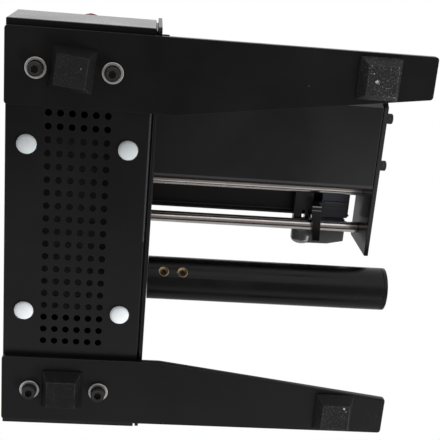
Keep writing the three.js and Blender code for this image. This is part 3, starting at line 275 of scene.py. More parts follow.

# Painted light: places where the paint is greyer to stand for light falling there, as (low
# corner, high corner, shade) and the width of a wide fade: the floor's rear, painted lighter,
# and a painted highlight along its right edge, a painted highlight on the side plate's front
# edge, the table's right rear corner, painted lighter, painted highlights on its two rear edges,
# and painted light on the end plate's lower edge
PAINTED_LIGHT_FADE = 0.0003
BASE_PAINTED_LIGHT = [
    ((-0.13, 0.1, 0.013), (-0.03, 0.14, 0.016), 0.01, 0.16),
    ((-0.0418, -0.084, 0.013), (-0.040, 0.0, 0.0145), 0.045),
    ((-0.0415, 0.0, 0.013), (-0.040, 0.09, 0.0145), 0.012),
]
SIDE_PAINTED_LIGHT = [((-0.0384, -0.12, 0.013), (-0.0375, 0.0, 0.015), 0.016)]
TABLE_PAINTED_LIGHT = [
    ((0.105, -0.035, 0.07), (0.12, -0.02, 0.077), 0.016, 0.05),
    ((-0.04, -0.0275, 0.074), (0.12, -0.0262, 0.076), 0.04),
    ((-0.04, 0.0055, 0.114), (0.12, 0.0068, 0.1195), 0.05),
]
END_PAINTED_LIGHT = [((0.1137, -0.12, 0.0738), (0.1170, 0.03, 0.0749), 0.03)]

# Scuffs on the pads, as (place, radius, shade)
FRONT_ROOT_SCUFFS = [((-0.0819, -0.1058, 0), 0.0004, 0.2)]
FRONT_TIP_SCUFFS = [
    ((0.0845, -0.1152, 0), 0.0004, 0.35),
    ((0.0868, -0.1107, 0), 0.0009, 0.45),
    ((0.0980, -0.1020, 0), 0.0004, 0.3),
]
REAR_TIP_SCUFFS = [
    ((0.0952, 0.1025, 0), 0.0007, 0.45),
    ((0.0965, 0.1047, 0), 0.0004, 0.3),
]


def powder_coat(shade, roughness=0.24, painted_light=()):
    """Satin black powder coat: orange peel, faint clouds, dust, and worn edges that are also a
    painted highlight; greyer in the given boxes as painted light, which fade over a narrow
    default width where they name no width."""
    def build(g):
        peel = g.noise(900, 3, 0.55)
        cloud = g.noise(22, 4, 0.6)
        dust = g.ramp(g.cells(160), 0.07, 0.03)
        sparse = g.ramp(g.noise(60, 2), 0.62, 0.7)
        speck = g.math("MULTIPLY", dust, sparse)
        full = grey(shade, BLACK_TINT)
        base = g.blend(g.ramp(cloud, 0.35, 0.7), full, grey(shade * 1.35, BLACK_TINT))
        # Painted light: each box greys the paint where more light falls or a highlight shows
        for low, high, painted_grey, *fade in painted_light:
            patch = g.inside(low, high, fade[0] if fade else PAINTED_LIGHT_FADE)
            base = g.blend(patch, base, grey(painted_grey, BLACK_TINT))
        dusted = g.blend(g.math("MULTIPLY", speck, 0.5), base, grey(PAINT_DUST))
        patchy = g.ramp(g.noise(130, 4), 0.4, 0.75, 0.1, 0.5)
        # Worn paint along sharp edges, paler also as a painted edge highlight
        worn_and_lit = g.math("MULTIPLY", g.edges(PAINT_RIM), patchy)
        return {
            "Base Color": g.blend(worn_and_lit, dusted, grey(WORN_PAINT_AND_HIGHLIGHT)),
            "Roughness": g.ramp(cloud, 0.3, 0.75, roughness, roughness + 0.14),
            "Normal": g.bump(peel, PEEL_HEIGHT, 0.6),
        }
    return build


def moulded_plastic(shade, tint, roughness=0.42):
    """Moulded plastic: a fine grain, faint clouds and edges rubbed a little paler."""
    def build(g):
        fine = g.noise(1400, 2, 0.6)
        cloud = g.noise(35, 3)
        patchy = g.ramp(g.noise(160, 3), 0.42, 0.7, 0.15, 0.8)
        rub = g.math("MULTIPLY", g.edges(PLASTIC_RIM), patchy)
        rubbed = min(1.0, shade * 3 + 0.04)
        base = g.blend(cloud, grey(shade * 0.85, tint), grey(shade * 1.25, tint))
        return {
            "Base Color": g.blend(rub, base, grey(rubbed, tint)),
            "Roughness": g.ramp(cloud, 0.3, 0.7, roughness - 0.08, roughness + 0.1),
            "Normal": g.bump(fine, GRAIN_HEIGHT, 0.5),
        }
    return build


def scuffed_rubber(shade, flecked, lit, scuffs=()):
    """Moulded rubber with a dusty face and walls darkened as painted shade, more on the side
    away from
    the light: flecks in patches, scuffs where it has rubbed, and a painted highlight on the rim
    that turns paler from one place along an axis to another, towards the light."""
    def build(g):
        grain = g.noise(1500, 3, 0.7)
        rough = g.noise(900, 4, 0.7)
        patch = g.ramp(g.noise(90, 3, 0.6), 0.4, 0.6, 0.3, 1.0)
        flecks = g.math("MULTIPLY", g.ramp(rough, 0.55, 0.62), patch)
        cloud = g.blend(g.noise(140, 3), grey(shade * 0.8), grey(shade * 1.25))
        dusty = g.math("MULTIPLY", flecks, flecked)
        colour = g.blend(dusty, cloud, grey(RUBBER_DUST_AND_HIGHLIGHT))
        for spot, radius, pale in scuffs:
            rubbed = g.near(spot, radius, g.noise(1100, 3, 0.6))
            colour = g.blend(rubbed, colour, grey(pale))
        # Painted light: the walls are darkened as painted shade, more on the side away from the
        # light, and the rim gets a painted highlight that grows towards it
        lit_side = g.beyond(*lit)
        wall = g.beyond(*PAD_WALL)
        painted_shading = g.math("MULTIPLY", wall, g.ramp(lit_side, 0, 1, 0.7, 0.35))
        colour = g.blend(painted_shading, colour, grey(shade * 0.2))
        patchy = g.ramp(g.noise(260, 3), 0.35, 0.65, 0.25, 1.0)
        rim = g.math("MULTIPLY", g.edges(RUBBER_RIM), patchy)
        rim = g.math("MULTIPLY", rim, g.beyond(*PAD_RIM_END))
        rim = g.math("MULTIPLY", rim, g.ramp(lit_side, 0, 1, 0.2, 1))
        return {
            "Base Color": g.blend(rim, colour, grey(RUBBER_DUST_AND_HIGHLIGHT)),
            "Roughness": g.ramp(rough, 0.3, 0.7, 0.55, 0.8),
            "Normal": g.bump(g.math("ADD", grain, rough), RUBBER_HEIGHT, 0.5),
        }
    return build


def drawn_metal(shade, tint, roughness):
    """Polished rod: fine lines along its length, which is X, and faint stains."""
    def build(g):
        lines = g.noise(1.0, 2, 0.5, g.stretched(LINE_SCALE))
        stain = g.noise(40, 3, 0.6)
        cloudy = g.ramp(stain, 0.4, 0.75)
        return {
            "Base Color": g.blend(cloudy, grey(shade, tint), grey(shade * 0.75, tint)),
            "Roughness": g.ramp(stain, 0.3, 0.7, roughness, roughness + 0.1),
            "Normal": g.bump(lines, LINE_HEIGHT, 0.5),
        }
    return build


def plated_metal(shade, tint, roughness, stain_shade=0.6):
    """Plated or blackened steel: a fine grain, stains and bright rubbed edges."""
    def build(g):
        fine = g.noise(1200, 3, 0.6)
        stain = g.noise(110, 4, 0.6)
        cloudy = g.ramp(stain, 0.42, 0.72)
        base = g.blend(cloudy, grey(shade, tint), grey(shade * stain_shade, tint))
        rim = g.math("MULTIPLY", g.edges(PLATING_RIM), 0.6)
        return {
            "Base Color": g.blend(rim, base, grey(min(1.0, shade * 1.4), tint)),
            "Roughness": g.ramp(stain, 0.3, 0.7, roughness, roughness + 0.15),
            "Normal": g.bump(fine, FINE_HEIGHT, 0.5),
        }
    return build


def sensor_plastic(g):
    """Glossy blue-grey moulding, darker at its front left as painted shade, paler and partly
    metallic at its rear, which is partly metal and partly painted reflection, and black on the
    strap under the rods.
    """
    cloud = g.noise(45, 3)
    patchy = g.ramp(g.noise(160, 3), 0.42, 0.7, 0.3, 1.0)
    rub = g.math("MULTIPLY", g.edges(GLOSS_RIM), patchy)
    block = g.blend(cloud, *(grey(shade, COOL_TINT) for shade in BLOCK_SHADES))
    right = g.beyond(*BLOCK_START)
    behind = g.beyond(*BLOCK_REAR)
    base = g.blend(right, grey(HOLDER_SHADED_LEFT, COOL_TINT), block)
    dull, bright = HOLDER_REAR_AND_REFLECTION
    base = g.blend(behind, base, g.blend(right, grey(bright), grey(dull)))
    plated = g.math("MULTIPLY", behind, g.ramp(right, 0, 1, 0.75, 0.3))
    above = g.beyond(*STRAP_TOP)
    whole = g.blend(above, grey(HOLDER_STRAP), base)
    return {
        "Base Color": g.blend(rub, whole, grey(HOLDER_RUBBED, COOL_TINT)),
        "Metallic": g.math("MULTIPLY", plated, above),
        "Roughness": g.ramp(cloud, 0.3, 0.7, 0.16, 0.26),
        "Normal": g.bump(g.noise(1400, 2, 0.6), FINE_HEIGHT, 0.4),
    }


def shaded_socket(g):
    """The inside of a screw's socket, darkened as painted shade in its recess."""
    mottle = g.noise(900, 3, 0.6)
    return {
        "Base Color": g.blend(mottle, *map(grey, SOCKET_SHADES)),
        "Roughness": g.ramp(mottle, 0.3, 0.7, 0.5, 0.7),
        "Normal": g.bump(mottle, GRAIN_HEIGHT, 0.4),
    }


def smooth_nylon(g):
    """White nylon, greyer towards the front as painted shade, where the plugs take less light.
    """
    cloud = g.noise(60, 3)
    painted_shading = g.beyond(*LIT_PLUGS)
    dull, pale = (
        g.blend(painted_shading, grey(shaded, SHADED_NYLON_TINT), grey(white))
        for shaded, white in zip(SHADED_NYLON, LIT_NYLON)
    )
    return {
        "Base Color": g.blend(g.ramp(cloud, 0.35, 0.7), pale, dull),
        "Roughness": g.ramp(cloud, 0.3, 0.7, 0.35, 0.5),
        "Normal": g.bump(g.noise(500, 2), GRAIN_HEIGHT, 0.4),
    }


def circuit_board(g):
    """Dark solder mask over tracks, with paler pads."""
    tracks = g.ramp(g.cells(260, "DISTANCE_TO_EDGE"), 0.04, 0.07)
    pads = g.ramp(g.cells(330), 0.12, 0.09)
    dark, pale = BOARD_MASK
    return {
        "Base Color": g.blend(pads, g.blend(tracks, pale, dark), BOARD_PAD),
        "Roughness": g.ramp(g.noise(80, 2), 0.3, 0.7, 0.35, 0.5),
        "Normal": g.bump(tracks, GRAIN_HEIGHT, 0.6),
    }


def tinted_window(g):
    """Dark red window."""
    return {
        "Base Color": g.blend(g.noise(30, 2), *WINDOW_REDS),
        "Roughness": g.ramp(g.noise(300, 3), 0.3, 0.7, 0.05, 0.12),
    }


def unlit_segment(g):
    """A display's bars, switched off, as they show through the red window."""
    return {
        "Base Color": g.blend(g.noise(400, 2), *SEGMENT_REDS),
        "Roughness": g.ramp(g.noise(300, 3), 0.3, 0.7, 0.1, 0.2),
    }


def glossy_red(g):
    """The rocker's red moulding."""
    cloud = g.noise(90, 3)
    return {
        "Base Color": g.blend(cloud, *ROCKER_REDS),
        "Roughness": g.ramp(cloud, 0.3, 0.7, 0.22, 0.34),
        "Normal": g.bump(g.noise(900, 2), FINE_HEIGHT, 0.4),
    }


materials = {
    "black_paint": material("black_paint", powder_coat(0.005), IOR=1.33),
    "black_steel": material("black_steel", plated_metal(0.035, (1, 1, 1), 0.28), Metallic=0.6),
    "bright_steel": material("bright_steel", plated_metal(0.66, STEEL_TINT, 0.3), Metallic=0.9),
    "rubber": material("rubber", scuffed_rubber(0.012, 0.3, ROOT_TO_TIP_LIT), IOR=1.33),
    "nylon": material("nylon", smooth_nylon, Subsurface_Weight=0.1),
    "circuit_board": material("circuit_board", circuit_board),
    "aluminium": material(
        "aluminium", plated_metal(0.6, ALUMINIUM_TINT, 0.32, 0.8), Metallic=1.0,
    ),
    "black_plastic": material("black_plastic", moulded_plastic(0.012, PLASTIC_TINT), IOR=1.45),
    "grey_plastic": material("grey_plastic", moulded_plastic(0.12, KEY_TINT)),
    "brass": material("brass", plated_metal(0.5, BRASS_TINT, 0.28), Metallic=1.0),
    "chrome": material("chrome", drawn_metal(0.93, CHROME_TINT, 0.16), Metallic=1.0),
    "red_plastic": material("red_plastic", glossy_red),
    "window": material("window", tinted_window, Coat_Weight=1.0, Coat_Roughness=0.03),
}
sensor_finish = material("sensor_plastic", sensor_plastic, IOR=1.5)
socket_finish = material("shaded_socket", shaded_socket, IOR=1.4)
segment_finish = material("unlit_segment", unlit_segment, Coat_Weight=1.0, Coat_Roughness=0.03)
tube_finish = material("tube_plastic", moulded_plastic(0.0045, TUBE_TINT, 0.26), IOR=1.33)
# The ribs' paler plastic is a painted highlight: it stands for the lit lines along them
rib_finish = material("rib_plastic", moulded_plastic(0.05, COOL_TINT, 0.3), IOR=2.0)

# Nodes whose finish differs from their slot's
node_finishes = {
    "sensor_holder": sensor_finish,
    "take_up_tube": tube_finish,
    "take_up_cap": tube_finish,
}
for node_name, finish_name, build_finish, ior in (
    ("housing_cover", "cover_paint", powder_coat(0.0055, 0.14), 1.5),
    ("base_plate", "base_paint", powder_coat(0.0055, painted_light=BASE_PAINTED_LIGHT), 1.33),
    ("side_plate", "plate_paint", powder_coat(0.0055, painted_light=SIDE_PAINTED_LIGHT), 1.33),
    ("label_table", "table_paint", powder_coat(0.0062, 0.26, TABLE_PAINTED_LIGHT), 1.45),
    ("end_plate", "end_plate_paint", powder_coat(0.0045, 0.16, END_PAINTED_LIGHT), 1.1),
):
    node_finishes[node_name] = material(finish_name, build_finish, IOR=ior)
for node_name, build_finish, ior in (
    ("front_root_pad", scuffed_rubber(0.0125, 0.15, FRONT_ROOT_LIT, FRONT_ROOT_SCUFFS), 1.22),
    ("front_tip_pad", scuffed_rubber(0.014, 0.95, FRONT_TIP_LIT, FRONT_TIP_SCUFFS), 1.33),
    ("rear_root_pad", scuffed_rubber(0.007, 0.15, REAR_ROOT_LIT), 1.28),
    ("rear_tip_pad", scuffed_rubber(0.008, 0.35, REAR_TIP_LIT, REAR_TIP_SCUFFS), 1.33),
):
    node_finishes[node_name] = material(node_name, build_finish, IOR=ior)


# CAD nodes
WELD = 0.00001
SMOOTH_ANGLE = math.radians(38)
KEY_DIGITS = 6
BEVEL_SEGMENTS = 2
BEVELS = {  # by slot, in millimetres
    "nylon": 0.15,
    "rubber": 0.3,
    "black_plastic": 0.4,
    "black_paint": 0.45,
    "chrome": 0.5,
    "brass": 0.25,
    "circuit_board": 0,
    "red_plastic": 0.5,
}
DEFAULT_BEVEL = 0.3
NODE_BEVELS = {  # nodes that differ from their slot
    "button_1": 0.9,
    "button_2": 0.9,
    "front_foot": 0.25,
    "rear_foot": 0.7,
    "label_table": 0.6,
    "take_up_tube": 0,
    "take_up_cap": 0.15,
    "brake_spring": 0,
    "gear_motor": 0,
    "power_supply": 0,
}
# A loop of edges shorter than this, or than this share of its node, has a finer bevel
SHORT_LOOP = 14 * MM
SHORT_LOOP_SHARE = 0.3
FINE_SHARE = 0.3


def edge_key(edge):
    """An edge's own name, which stays the same in a welded copy of its mesh."""
    return tuple(sorted(tuple(round(c, KEY_DIGITS) for c in vert.co) for vert in edge.verts))


def reach(points):
    """The diagonal of the box round some points."""
    return (Vector(map(max, zip(*points))) - Vector(map(min, zip(*points)))).length


def sharp_edges(form):
    """The sharp edges of a form, each with the share of the bevel that it takes: all of it,
    or a fine one on short loops such as the rims of holes."""
    left = {edge for edge in form.edges if edge.calc_face_angle(0) > SMOOTH_ANGLE}
    limit = min(SHORT_LOOP, SHORT_LOOP_SHARE * reach([vert.co for vert in form.verts]))
    shares = {}
    for first in form.edges:
        if first not in left:
            continue
        left.remove(first)
        loop = [first]
        for edge in loop:
            for vert in edge.verts:
                for other in vert.link_edges:
                    if other in left:
                        left.remove(other)
                        loop.append(other)
        long = reach([vert.co for edge in loop for vert in edge.verts]) > limit
        for edge in loop:
            shares[edge_key(edge)] = 1.0 if long else FINE_SHARE
    return shares


def soften(piece, bevel):
    """Soft edges where the real piece has them, and even shading on its flat faces."""
    mesh = piece.data
    form = bmesh.new()
    form.from_mesh(mesh)
    bmesh.ops.remove_doubles(form, verts=form.verts, dist=WELD)
    shares = sharp_edges(form)
    form.free()
    form = bmesh.new()
    form.from_mesh(mesh)
    found = [shares.get(edge_key(edge), 0.0) for edge in form.edges]
    form.free()
    if bevel:
        weights = mesh.attributes.new("bevel_weight_edge", "FLOAT", "EDGE")
        weights.data.foreach_set("value", found)
        soft = piece.modifiers.new("bevel", "BEVEL")
        soft.width = bevel * MM
        soft.segments = BEVEL_SEGMENTS
        soft.limit_method = "WEIGHT"
        soft.use_clamp_overlap = False
        soft.harden_normals = False
    else:
        if "sharp_edge" not in mesh.attributes:
            mesh.attributes.new("sharp_edge", "BOOLEAN", "EDGE")
        mesh.attributes["sharp_edge"].data.foreach_set("value", [share > 0 for share in found])
    even = piece.modifiers.new("even", "WEIGHTED_NORMAL")
    even.keep_sharp = True
    mesh.polygons.foreach_set("use_smooth", [True] * len(mesh.polygons))


def dress(node, finish, bevel):
    """Finish and soft edges on a CAD node, by material and modifiers alone."""
    mesh = node.data
    mesh.materials.clear()
    mesh.materials.append(finish)
    if "custom_normal" in mesh.attributes:
        mesh.attributes.remove(mesh.attributes["custom_normal"])
    mesh.attributes["sharp_edge"].data.foreach_set("value", [False] * len(mesh.edges))
    weld = node.modifiers.new("weld", "WELD")
    weld.merge_threshold = WELD
    soften(node, bevel)


def dress_nodes():
    for entry in frame["record"]["subparts"]:
        name = entry["node"]
        slot = entry["material_slot"]
        finish = node_finishes.get(name, materials[slot])
        dress(nodes[name], finish, NODE_BEVELS.get(name, BEVELS.get(slot, DEFAULT_BEVEL)))


# Forms for the finer pieces, in millimetres
ROUND, HEX, RIBBED = range(3)


def rim(radius, kind, turn, ribs, rib_depth):
    """The radius of a round, six-sided or ribbed rim at an angle."""
    if kind == HEX:
        return radius * math.cos(math.pi / 6) / math.cos(turn % (math.pi / 3) - math.pi / 6)
    if kind == RIBBED:
        return radius - rib_depth * (0.5 - 0.5 * math.cos(ribs * turn))
    return radius


def spun(profile, steps=48, ribs=0, rib_depth=0.0, share=1.0, lined=0):
    """A closed form turned about Z. A profile that keeps off the axis makes a ring, and a
    share below 1 leaves that ring open. The first bands, as many as lined, take the
    piece's second finish."""
    form = bmesh.new()
    whole = share == 1.0
    ring = all(point[0] > 0 for point in profile)
    rows = []
    for radius, height, *kind in profile:
        if radius == 0:
            rows.append([form.verts.new((0, 0, height))] * steps)
            continue
        row = []
        for i in range(steps):
            turn = 2 * math.pi * share * i / (steps if whole else steps - 1)
            out = rim(radius, kind[0] if kind else ROUND, turn, ribs, rib_depth)
            row.append(form.verts.new((out * math.cos(turn), out * math.sin(turn), height)))
        rows.append(row)
    pairs = list(zip(rows, rows[1:]))
    if ring:
        pairs.append((rows[-1], rows[0]))
    for band, (low, high) in enumerate(pairs):
        for i in range(steps if whole else steps - 1):
            k = (i + 1) % steps
            corners = []
            for corner in (low[i], low[k], high[k], high[i]):
                if corner not in corners:
                    corners.append(corner)
            form.faces.new(corners).material_index = int(band < lined)
    if not whole:
        form.faces.new([row[0] for row in rows])
        form.faces.new([row[-1] for row in rows])
    return form


def slab(form, points, low, high):
    """Adds a flat outline's upright form between two heights."""
    under = [form.verts.new((x, y, low)) for x, y in points]
    over = [form.verts.new((x, y, high)) for x, y in points]
    form.faces.new(under[::-1])
    form.faces.new(over)
    for i in range(len(points)):
        k = (i + 1) % len(points)
        form.faces.new((under[i], under[k], over[k], over[i]))


def bar_outline(start, end, half):
    """A bar with pointed ends, from one point to another."""
    start, end = Vector(start), Vector(end)
    along = (end - start).normalized()
    side = Vector((-along.y, along.x)) * half
    inner, outer = start + along * half, end - along * half
    return [start, inner - side, outer - side, end, outer + side, inner + side]


def facing(place, out, up):
    """A frame at a place whose Z points out of a face and whose Y points up."""
    out = Vector(out).normalized()
    up = Vector(up).normalized()
    turn = Matrix((up.cross(out), up, out)).transposed().to_4x4()
    return Matrix.Translation(Vector(place)) @ turn


def make_piece(name, forms, slot, body, bevel=0.0, finish=None, replaced=(), lining=None):
    """One mesh from (form, frame) pairs, with its finish, on the body that it moves with."""
    mesh = bpy.data.meshes.new(name)
    whole = bmesh.new()
    for form, where in forms:
        form.transform(Matrix.Scale(MM, 4) @ where)
        bmesh.ops.recalc_face_normals(form, faces=form.faces)
        part = bpy.data.meshes.new(name)
        form.to_mesh(part)
        whole.from_mesh(part)
        form.free()
        bpy.data.meshes.remove(part)
    whole.to_mesh(mesh)
    whole.free()
    mesh.materials.append(finish or materials[slot])
    if lining:
        mesh.materials.append(lining)
    piece = bpy.data.objects.new(name, mesh)
    bpy.context.scene.collection.objects.link(piece)
    soften(piece, bevel)
    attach(piece, body)
    if replaced:
        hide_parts(*replaced)


# Socket head screws, with knurled heads and six-sided sockets. Their face is at Z = 0 and
# their shank goes up.
HEAD_CHAMFER = 0.45
HEAD_STEPS = 144
HEAD_RIBS = 36
HEAD_RIB_DEPTH = 0.16
KNURL_STEP = 0.1
KNURL_END = 0.5
SOCKET_CHAMFER = 0.3
SOCKET_POINT = 0.5
SHANK_CHAMFER = 0.4
FOOT_SCREW = {
    "head": 4.25, "height": 5.0, "socket": 2.5, "depth": 2.8, "shank": 2.4, "length": 7.3,
}
TABLE_SCREW = {
    "head": 3.5, "height": 4.0, "socket": 1.7, "depth": 2.0, "shank": 1.6, "length": 9.0,
}


def socket_screw(head, height, socket, depth, shank, length):
    return spun([
        (0, depth + SOCKET_POINT),
        (socket, depth, HEX),
        (socket, SOCKET_CHAMFER, HEX),
        (socket + SOCKET_CHAMFER, 0),
        (head - HEAD_CHAMFER, 0),
        (head, HEAD_CHAMFER),
        (head, HEAD_CHAMFER + KNURL_STEP, RIBBED),
        (head, height - KNURL_END, RIBBED),
        (head, height - KNURL_END + KNURL_STEP),
        (head - KNURL_STEP, height),
        (shank, height),
        (shank, height + length - SHANK_CHAMFER),
        (shank - SHANK_CHAMFER, height + length),
        (0, height + length),
    ], HEAD_STEPS, HEAD_RIBS, HEAD_RIB_DEPTH, lined=2)


BOLT_FRONTS = {"front": -103.3, "rear": 102.1}
BOLT_SIDES = (-107.95, -64.45)
BOLT_FACE = 2.2
BOLT_TURN = 0.4
LOCK_WASHER = [(4.3, 4.25), (4.3, 5.2), (4.8, 5.2), (4.8, 4.25)]
LOCK_WASHER_STEPS = 60
LOCK_WASHER_SHARE = 0.97
LOCK_WASHER_BEVEL = 0.12


def make_foot_bolts():
    for side, y in BOLT_FRONTS.items():
        for i, x in enumerate(BOLT_SIDES, 1):
            turn = Matrix.Rotation(BOLT_TURN * i, 4, "Z")
            where = Matrix.Translation((x, y, BOLT_FACE)) @ turn
            make_piece(
                f"{side}_foot_screw_{i}", [(socket_screw(**FOOT_SCREW), where)], "black_steel",
                "frame", replaced=[f"{side}_foot_bolt_{i}"], lining=socket_finish,
            )
            # A real lock washer, made dark steel as painted shade for the shadow ring between
            # the washer and the head
            ring = spun(LOCK_WASHER, LOCK_WASHER_STEPS, share=LOCK_WASHER_SHARE)
            make_piece(
                f"{side}_lock_washer_{i}", [(ring, where)], "black_steel", "frame",
                LOCK_WASHER_BEVEL,
            )


# Front root pad, stuck on a little askew
PAD_PLACE = (-87.45, -103.7, 0)
PAD_TURN = math.radians(6)
PAD_LOOPS = (  # half the width and the height, from the foot down
    (12.85, 8.95), (12.85, 8.5), (12.5, 7.9), (10.7, 4.1), (9.2, 0.55), (9.02, 0.2), (8.7, 0.0),
)
PAD_CORNER = 0.9
CORNER_PARTS = 4


def rounded_square(half, corner):
    points = []
    middle = (half - corner) * math.sqrt(2)
    for quarter in range(4):
        turn = math.radians(90 * quarter + 45)
        for k in range(CORNER_PARTS + 1):
            angle = (quarter + k / CORNER_PARTS) * math.pi / 2
            points.append((
                middle * math.cos(turn) + corner * math.cos(angle),
                middle * math.sin(turn) + corner * math.sin(angle),
            ))
    return points


def make_front_root_pad():
    form = bmesh.new()
    rows = [
        [form.verts.new((x, y, z)) for x, y in rounded_square(half, PAD_CORNER)]
        for half, z in PAD_LOOPS
    ]
    form.faces.new(rows[0])
    form.faces.new(rows[-1][::-1])
    for high, low in zip(rows, rows[1:]):
        for i in range(len(high)):
            k = (i + 1) % len(high)
            form.faces.new((low[i], low[k], high[k], high[i]))
    where = Matrix.Translation(PAD_PLACE) @ Matrix.Rotation(PAD_TURN, 4, "Z")
    make_piece(
        "front_root_pad_askew", [(form, where)], "rubber", "frame", 0,
        node_finishes["front_root_pad"], replaced=["front_root_pad"],
    )


TABLE_SCREW_FACE = 121.05
TABLE_SCREW_PLACES = ((-74.2, 79.05), (-41.5, 79.05))


def make_table_screws():
    for i, (y, z) in enumerate(TABLE_SCREW_PLACES, 1):
        where = facing((TABLE_SCREW_FACE, y, z), (-1, 0, 0), (0, 0, 1))
        make_piece(
            f"end_plate_cap_screw_{i}", [(socket_screw(**TABLE_SCREW), where)], "black_steel",
            "frame", replaced=[f"end_plate_screw_{i}"], lining=socket_finish,
        )


# Take-up tube's set screws: a brass collar in the tube's wall and the dark screw inside it
TUBE_AXIS = (41.3, 59.0)
TUBE_RADIUS = 14.5
SET_SCREW_TURN = math.radians(39)
SET_SCREW_SIDES = (-26.45, -13.85)
SET_SCREW_COLLAR = [
    (3.55, -0.35), (3.4, -0.1), (3.15, 0.0), (2.9, -0.1), (1.75, -1.5), (1.65, -1.8),
    (1.65, -4.4), (2.9, -4.4), (2.9, -1.6), (3.55, -1.6),
]
SET_SCREW_CORE = [
    (0, -3.0), (0.9, -2.9, HEX), (0.9, -1.95, HEX), (1.15, -1.8), (1.45, -1.9),
    (1.6, -2.1), (1.6, -11.2), (0, -11.2),
]


def make_set_screws():
    out = Vector((0, -math.sin(SET_SCREW_TURN), -math.cos(SET_SCREW_TURN)))
    for i, x in enumerate(SET_SCREW_SIDES, 1):
        middle = Vector((x, *TUBE_AXIS)) + out * TUBE_RADIUS
        where = facing(middle, out, (1, 0, 0))
        make_piece(
            f"set_screw_collar_{i}", [(spun(SET_SCREW_COLLAR), where)], "brass", "take_up",
            replaced=[f"take_up_set_screw_{i}"],
        )
        make_piece(
            f"set_screw_core_{i}", [(spun(SET_SCREW_CORE, lined=2), where)], "black_steel",
            "take_up", lining=socket_finish,
        )


# Sensor holder: ribs under its block, whose paler finish is a painted highlight, and bright
# steel beads across its strap, which stand in for the highlights on its rounded edges, all along
# X
SENSOR_RIBS = ((-4.2, 1.0, 1.0), (-0.5, 0.45, 0.6))  # Y, half the width, drop
RIB_SPAN = (88.2, 105.2)
RIB_ROOT = 108.3
RIB_SUNK = 0.6
RIB_PARTS = 8
RIB_BEVEL = 0.25
# Bright steel beads put where the strap's rounded edges show highlights: they stand in for those
# highlights
STRAP_HIGHLIGHT_BEADS = ((-3.75, 96.75, 0.5), (-0.8, 96.7, 0.28))  # Y, Z, radius
BEAD_SPAN = (77.8, 84.4)
BEAD_SIDES = 12
BEAD_BEVEL = 0.1


def along_x(y, z):
    """A frame whose X, Y and Z lie along the object's Y, Z and X."""
    return Matrix(((0, 0, 1, 0), (1, 0, 0, y), (0, 1, 0, z), (0, 0, 0, 1)))


def make_sensor_ribs():
    ribs = []
    for y, half, drop in SENSOR_RIBS:
        turns = [k * math.pi / RIB_PARTS for k in range(RIB_PARTS + 1)]
        arch = [(half * math.cos(turn), -drop * math.sin(turn)) for turn in turns]
        form = bmesh.new()
        slab(form, [(half, RIB_SUNK)] + arch + [(-half, RIB_SUNK)], *RIB_SPAN)
        ribs.append((form, along_x(y, RIB_ROOT)))
    make_piece("sensor_holder_ribs", ribs, "black_plastic", "sensor", RIB_BEVEL, rib_finish)
    beads = []
    for y, z, radius in STRAP_HIGHLIGHT_BEADS:
        turns = [k * 2 * math.pi / BEAD_SIDES for k in range(BEAD_SIDES)]
        outline = [(radius * math.cos(turn), radius * math.sin(turn)) for turn in turns]
        form = bmesh.new()
        slab(form, outline, *BEAD_SPAN)
        beads.append((form, along_x(y, z)))
    make_piece("sensor_strap_highlight_beads", beads, "bright_steel", "sensor", BEAD_BEVEL)


# Sloped panel: knob, scale and display
PANEL_LEAN = math.radians(29.4)
PANEL_UP = Vector((0, math.sin(PANEL_LEAN), math.cos(PANEL_LEAN)))
PANEL_OUT = Vector((0, -math.cos(PANEL_LEAN), math.sin(PANEL_LEAN)))
PANEL_FOOT = Vector((-83.3, -129.6, 59.2))
KNOB_UP = 92.03
KNOB = [
    (0, -5.5), (3, -5.5), (3, 0.3), (11.6, 0.3), (12, 0.7), (12, 2.5), (11.5, 3.0),
    (10.3, 3.1), (10.0, 3.7), (10.0, 4.0, RIBBED), (9.7, 12.6, RIBBED), (9.3, 13.3),
    (8.8, 13.8), (8.0, 14.0), (7.6, 13.7), (0, 13.6),
]
KNOB_STEPS = 144
KNOB_FLUTES = 24
KNOB_FLUTE_DEPTH = 0.7
POINTER_ENDS = ((0, 1.5), (0, 7.4))
POINTER_HALF = 0.55
POINTER_SPAN = (13.3, 13.8)
POINTER_BEVEL = 0.08
SCALE_MARKS = 11
SCALE_START = 135
SCALE_STEP = 27
SCALE_INSIDE = 14.4
SCALE_SHORT = 16.6
SCALE_LONG = 18.0  # every fifth mark
SCALE_HALF = 0.32
SCALE_SPAN = (-0.05, 0.08)
WINDOW_UP = 138.05
WINDOW_PROUD = 1.2
DIGIT_MIDDLES = (-15.0, 0.0, 15.0)
DIGIT_HALF_WIDTH = 3.7
DIGIT_HALF_HEIGHT = 6.3
DIGIT_LEAN = 0.1
SEGMENT_HALF = 0.65
SEGMENT_GAP = 0.25
SEGMENT_SPAN = (-0.1, 0.06)
# The pairs of a figure's corners that its seven bars join, counted in rows from its top left
SEGMENTS = ((0, 1), (2, 3), (4, 5), (0, 2), (1, 3), (2, 4), (3, 5))


def panel_frame(up, out=0.0):
    return facing(PANEL_FOOT + PANEL_UP * up + PANEL_OUT * out, PANEL_OUT, PANEL_UP)


def make_knob():
    knob = spun(KNOB, KNOB_STEPS, KNOB_FLUTES, KNOB_FLUTE_DEPTH)
    make_piece(
        "fluted_knob", [(knob, panel_frame(KNOB_UP))], "black_plastic", "knob",
        replaced=["speed_knob"],
    )
    mark = bmesh.new()
    slab(mark, bar_outline(*POINTER_ENDS, POINTER_HALF), *POINTER_SPAN)
    where = panel_frame(KNOB_UP)
    make_piece("knob_pointer", [(mark, where)], "nylon", "knob", POINTER_BEVEL)


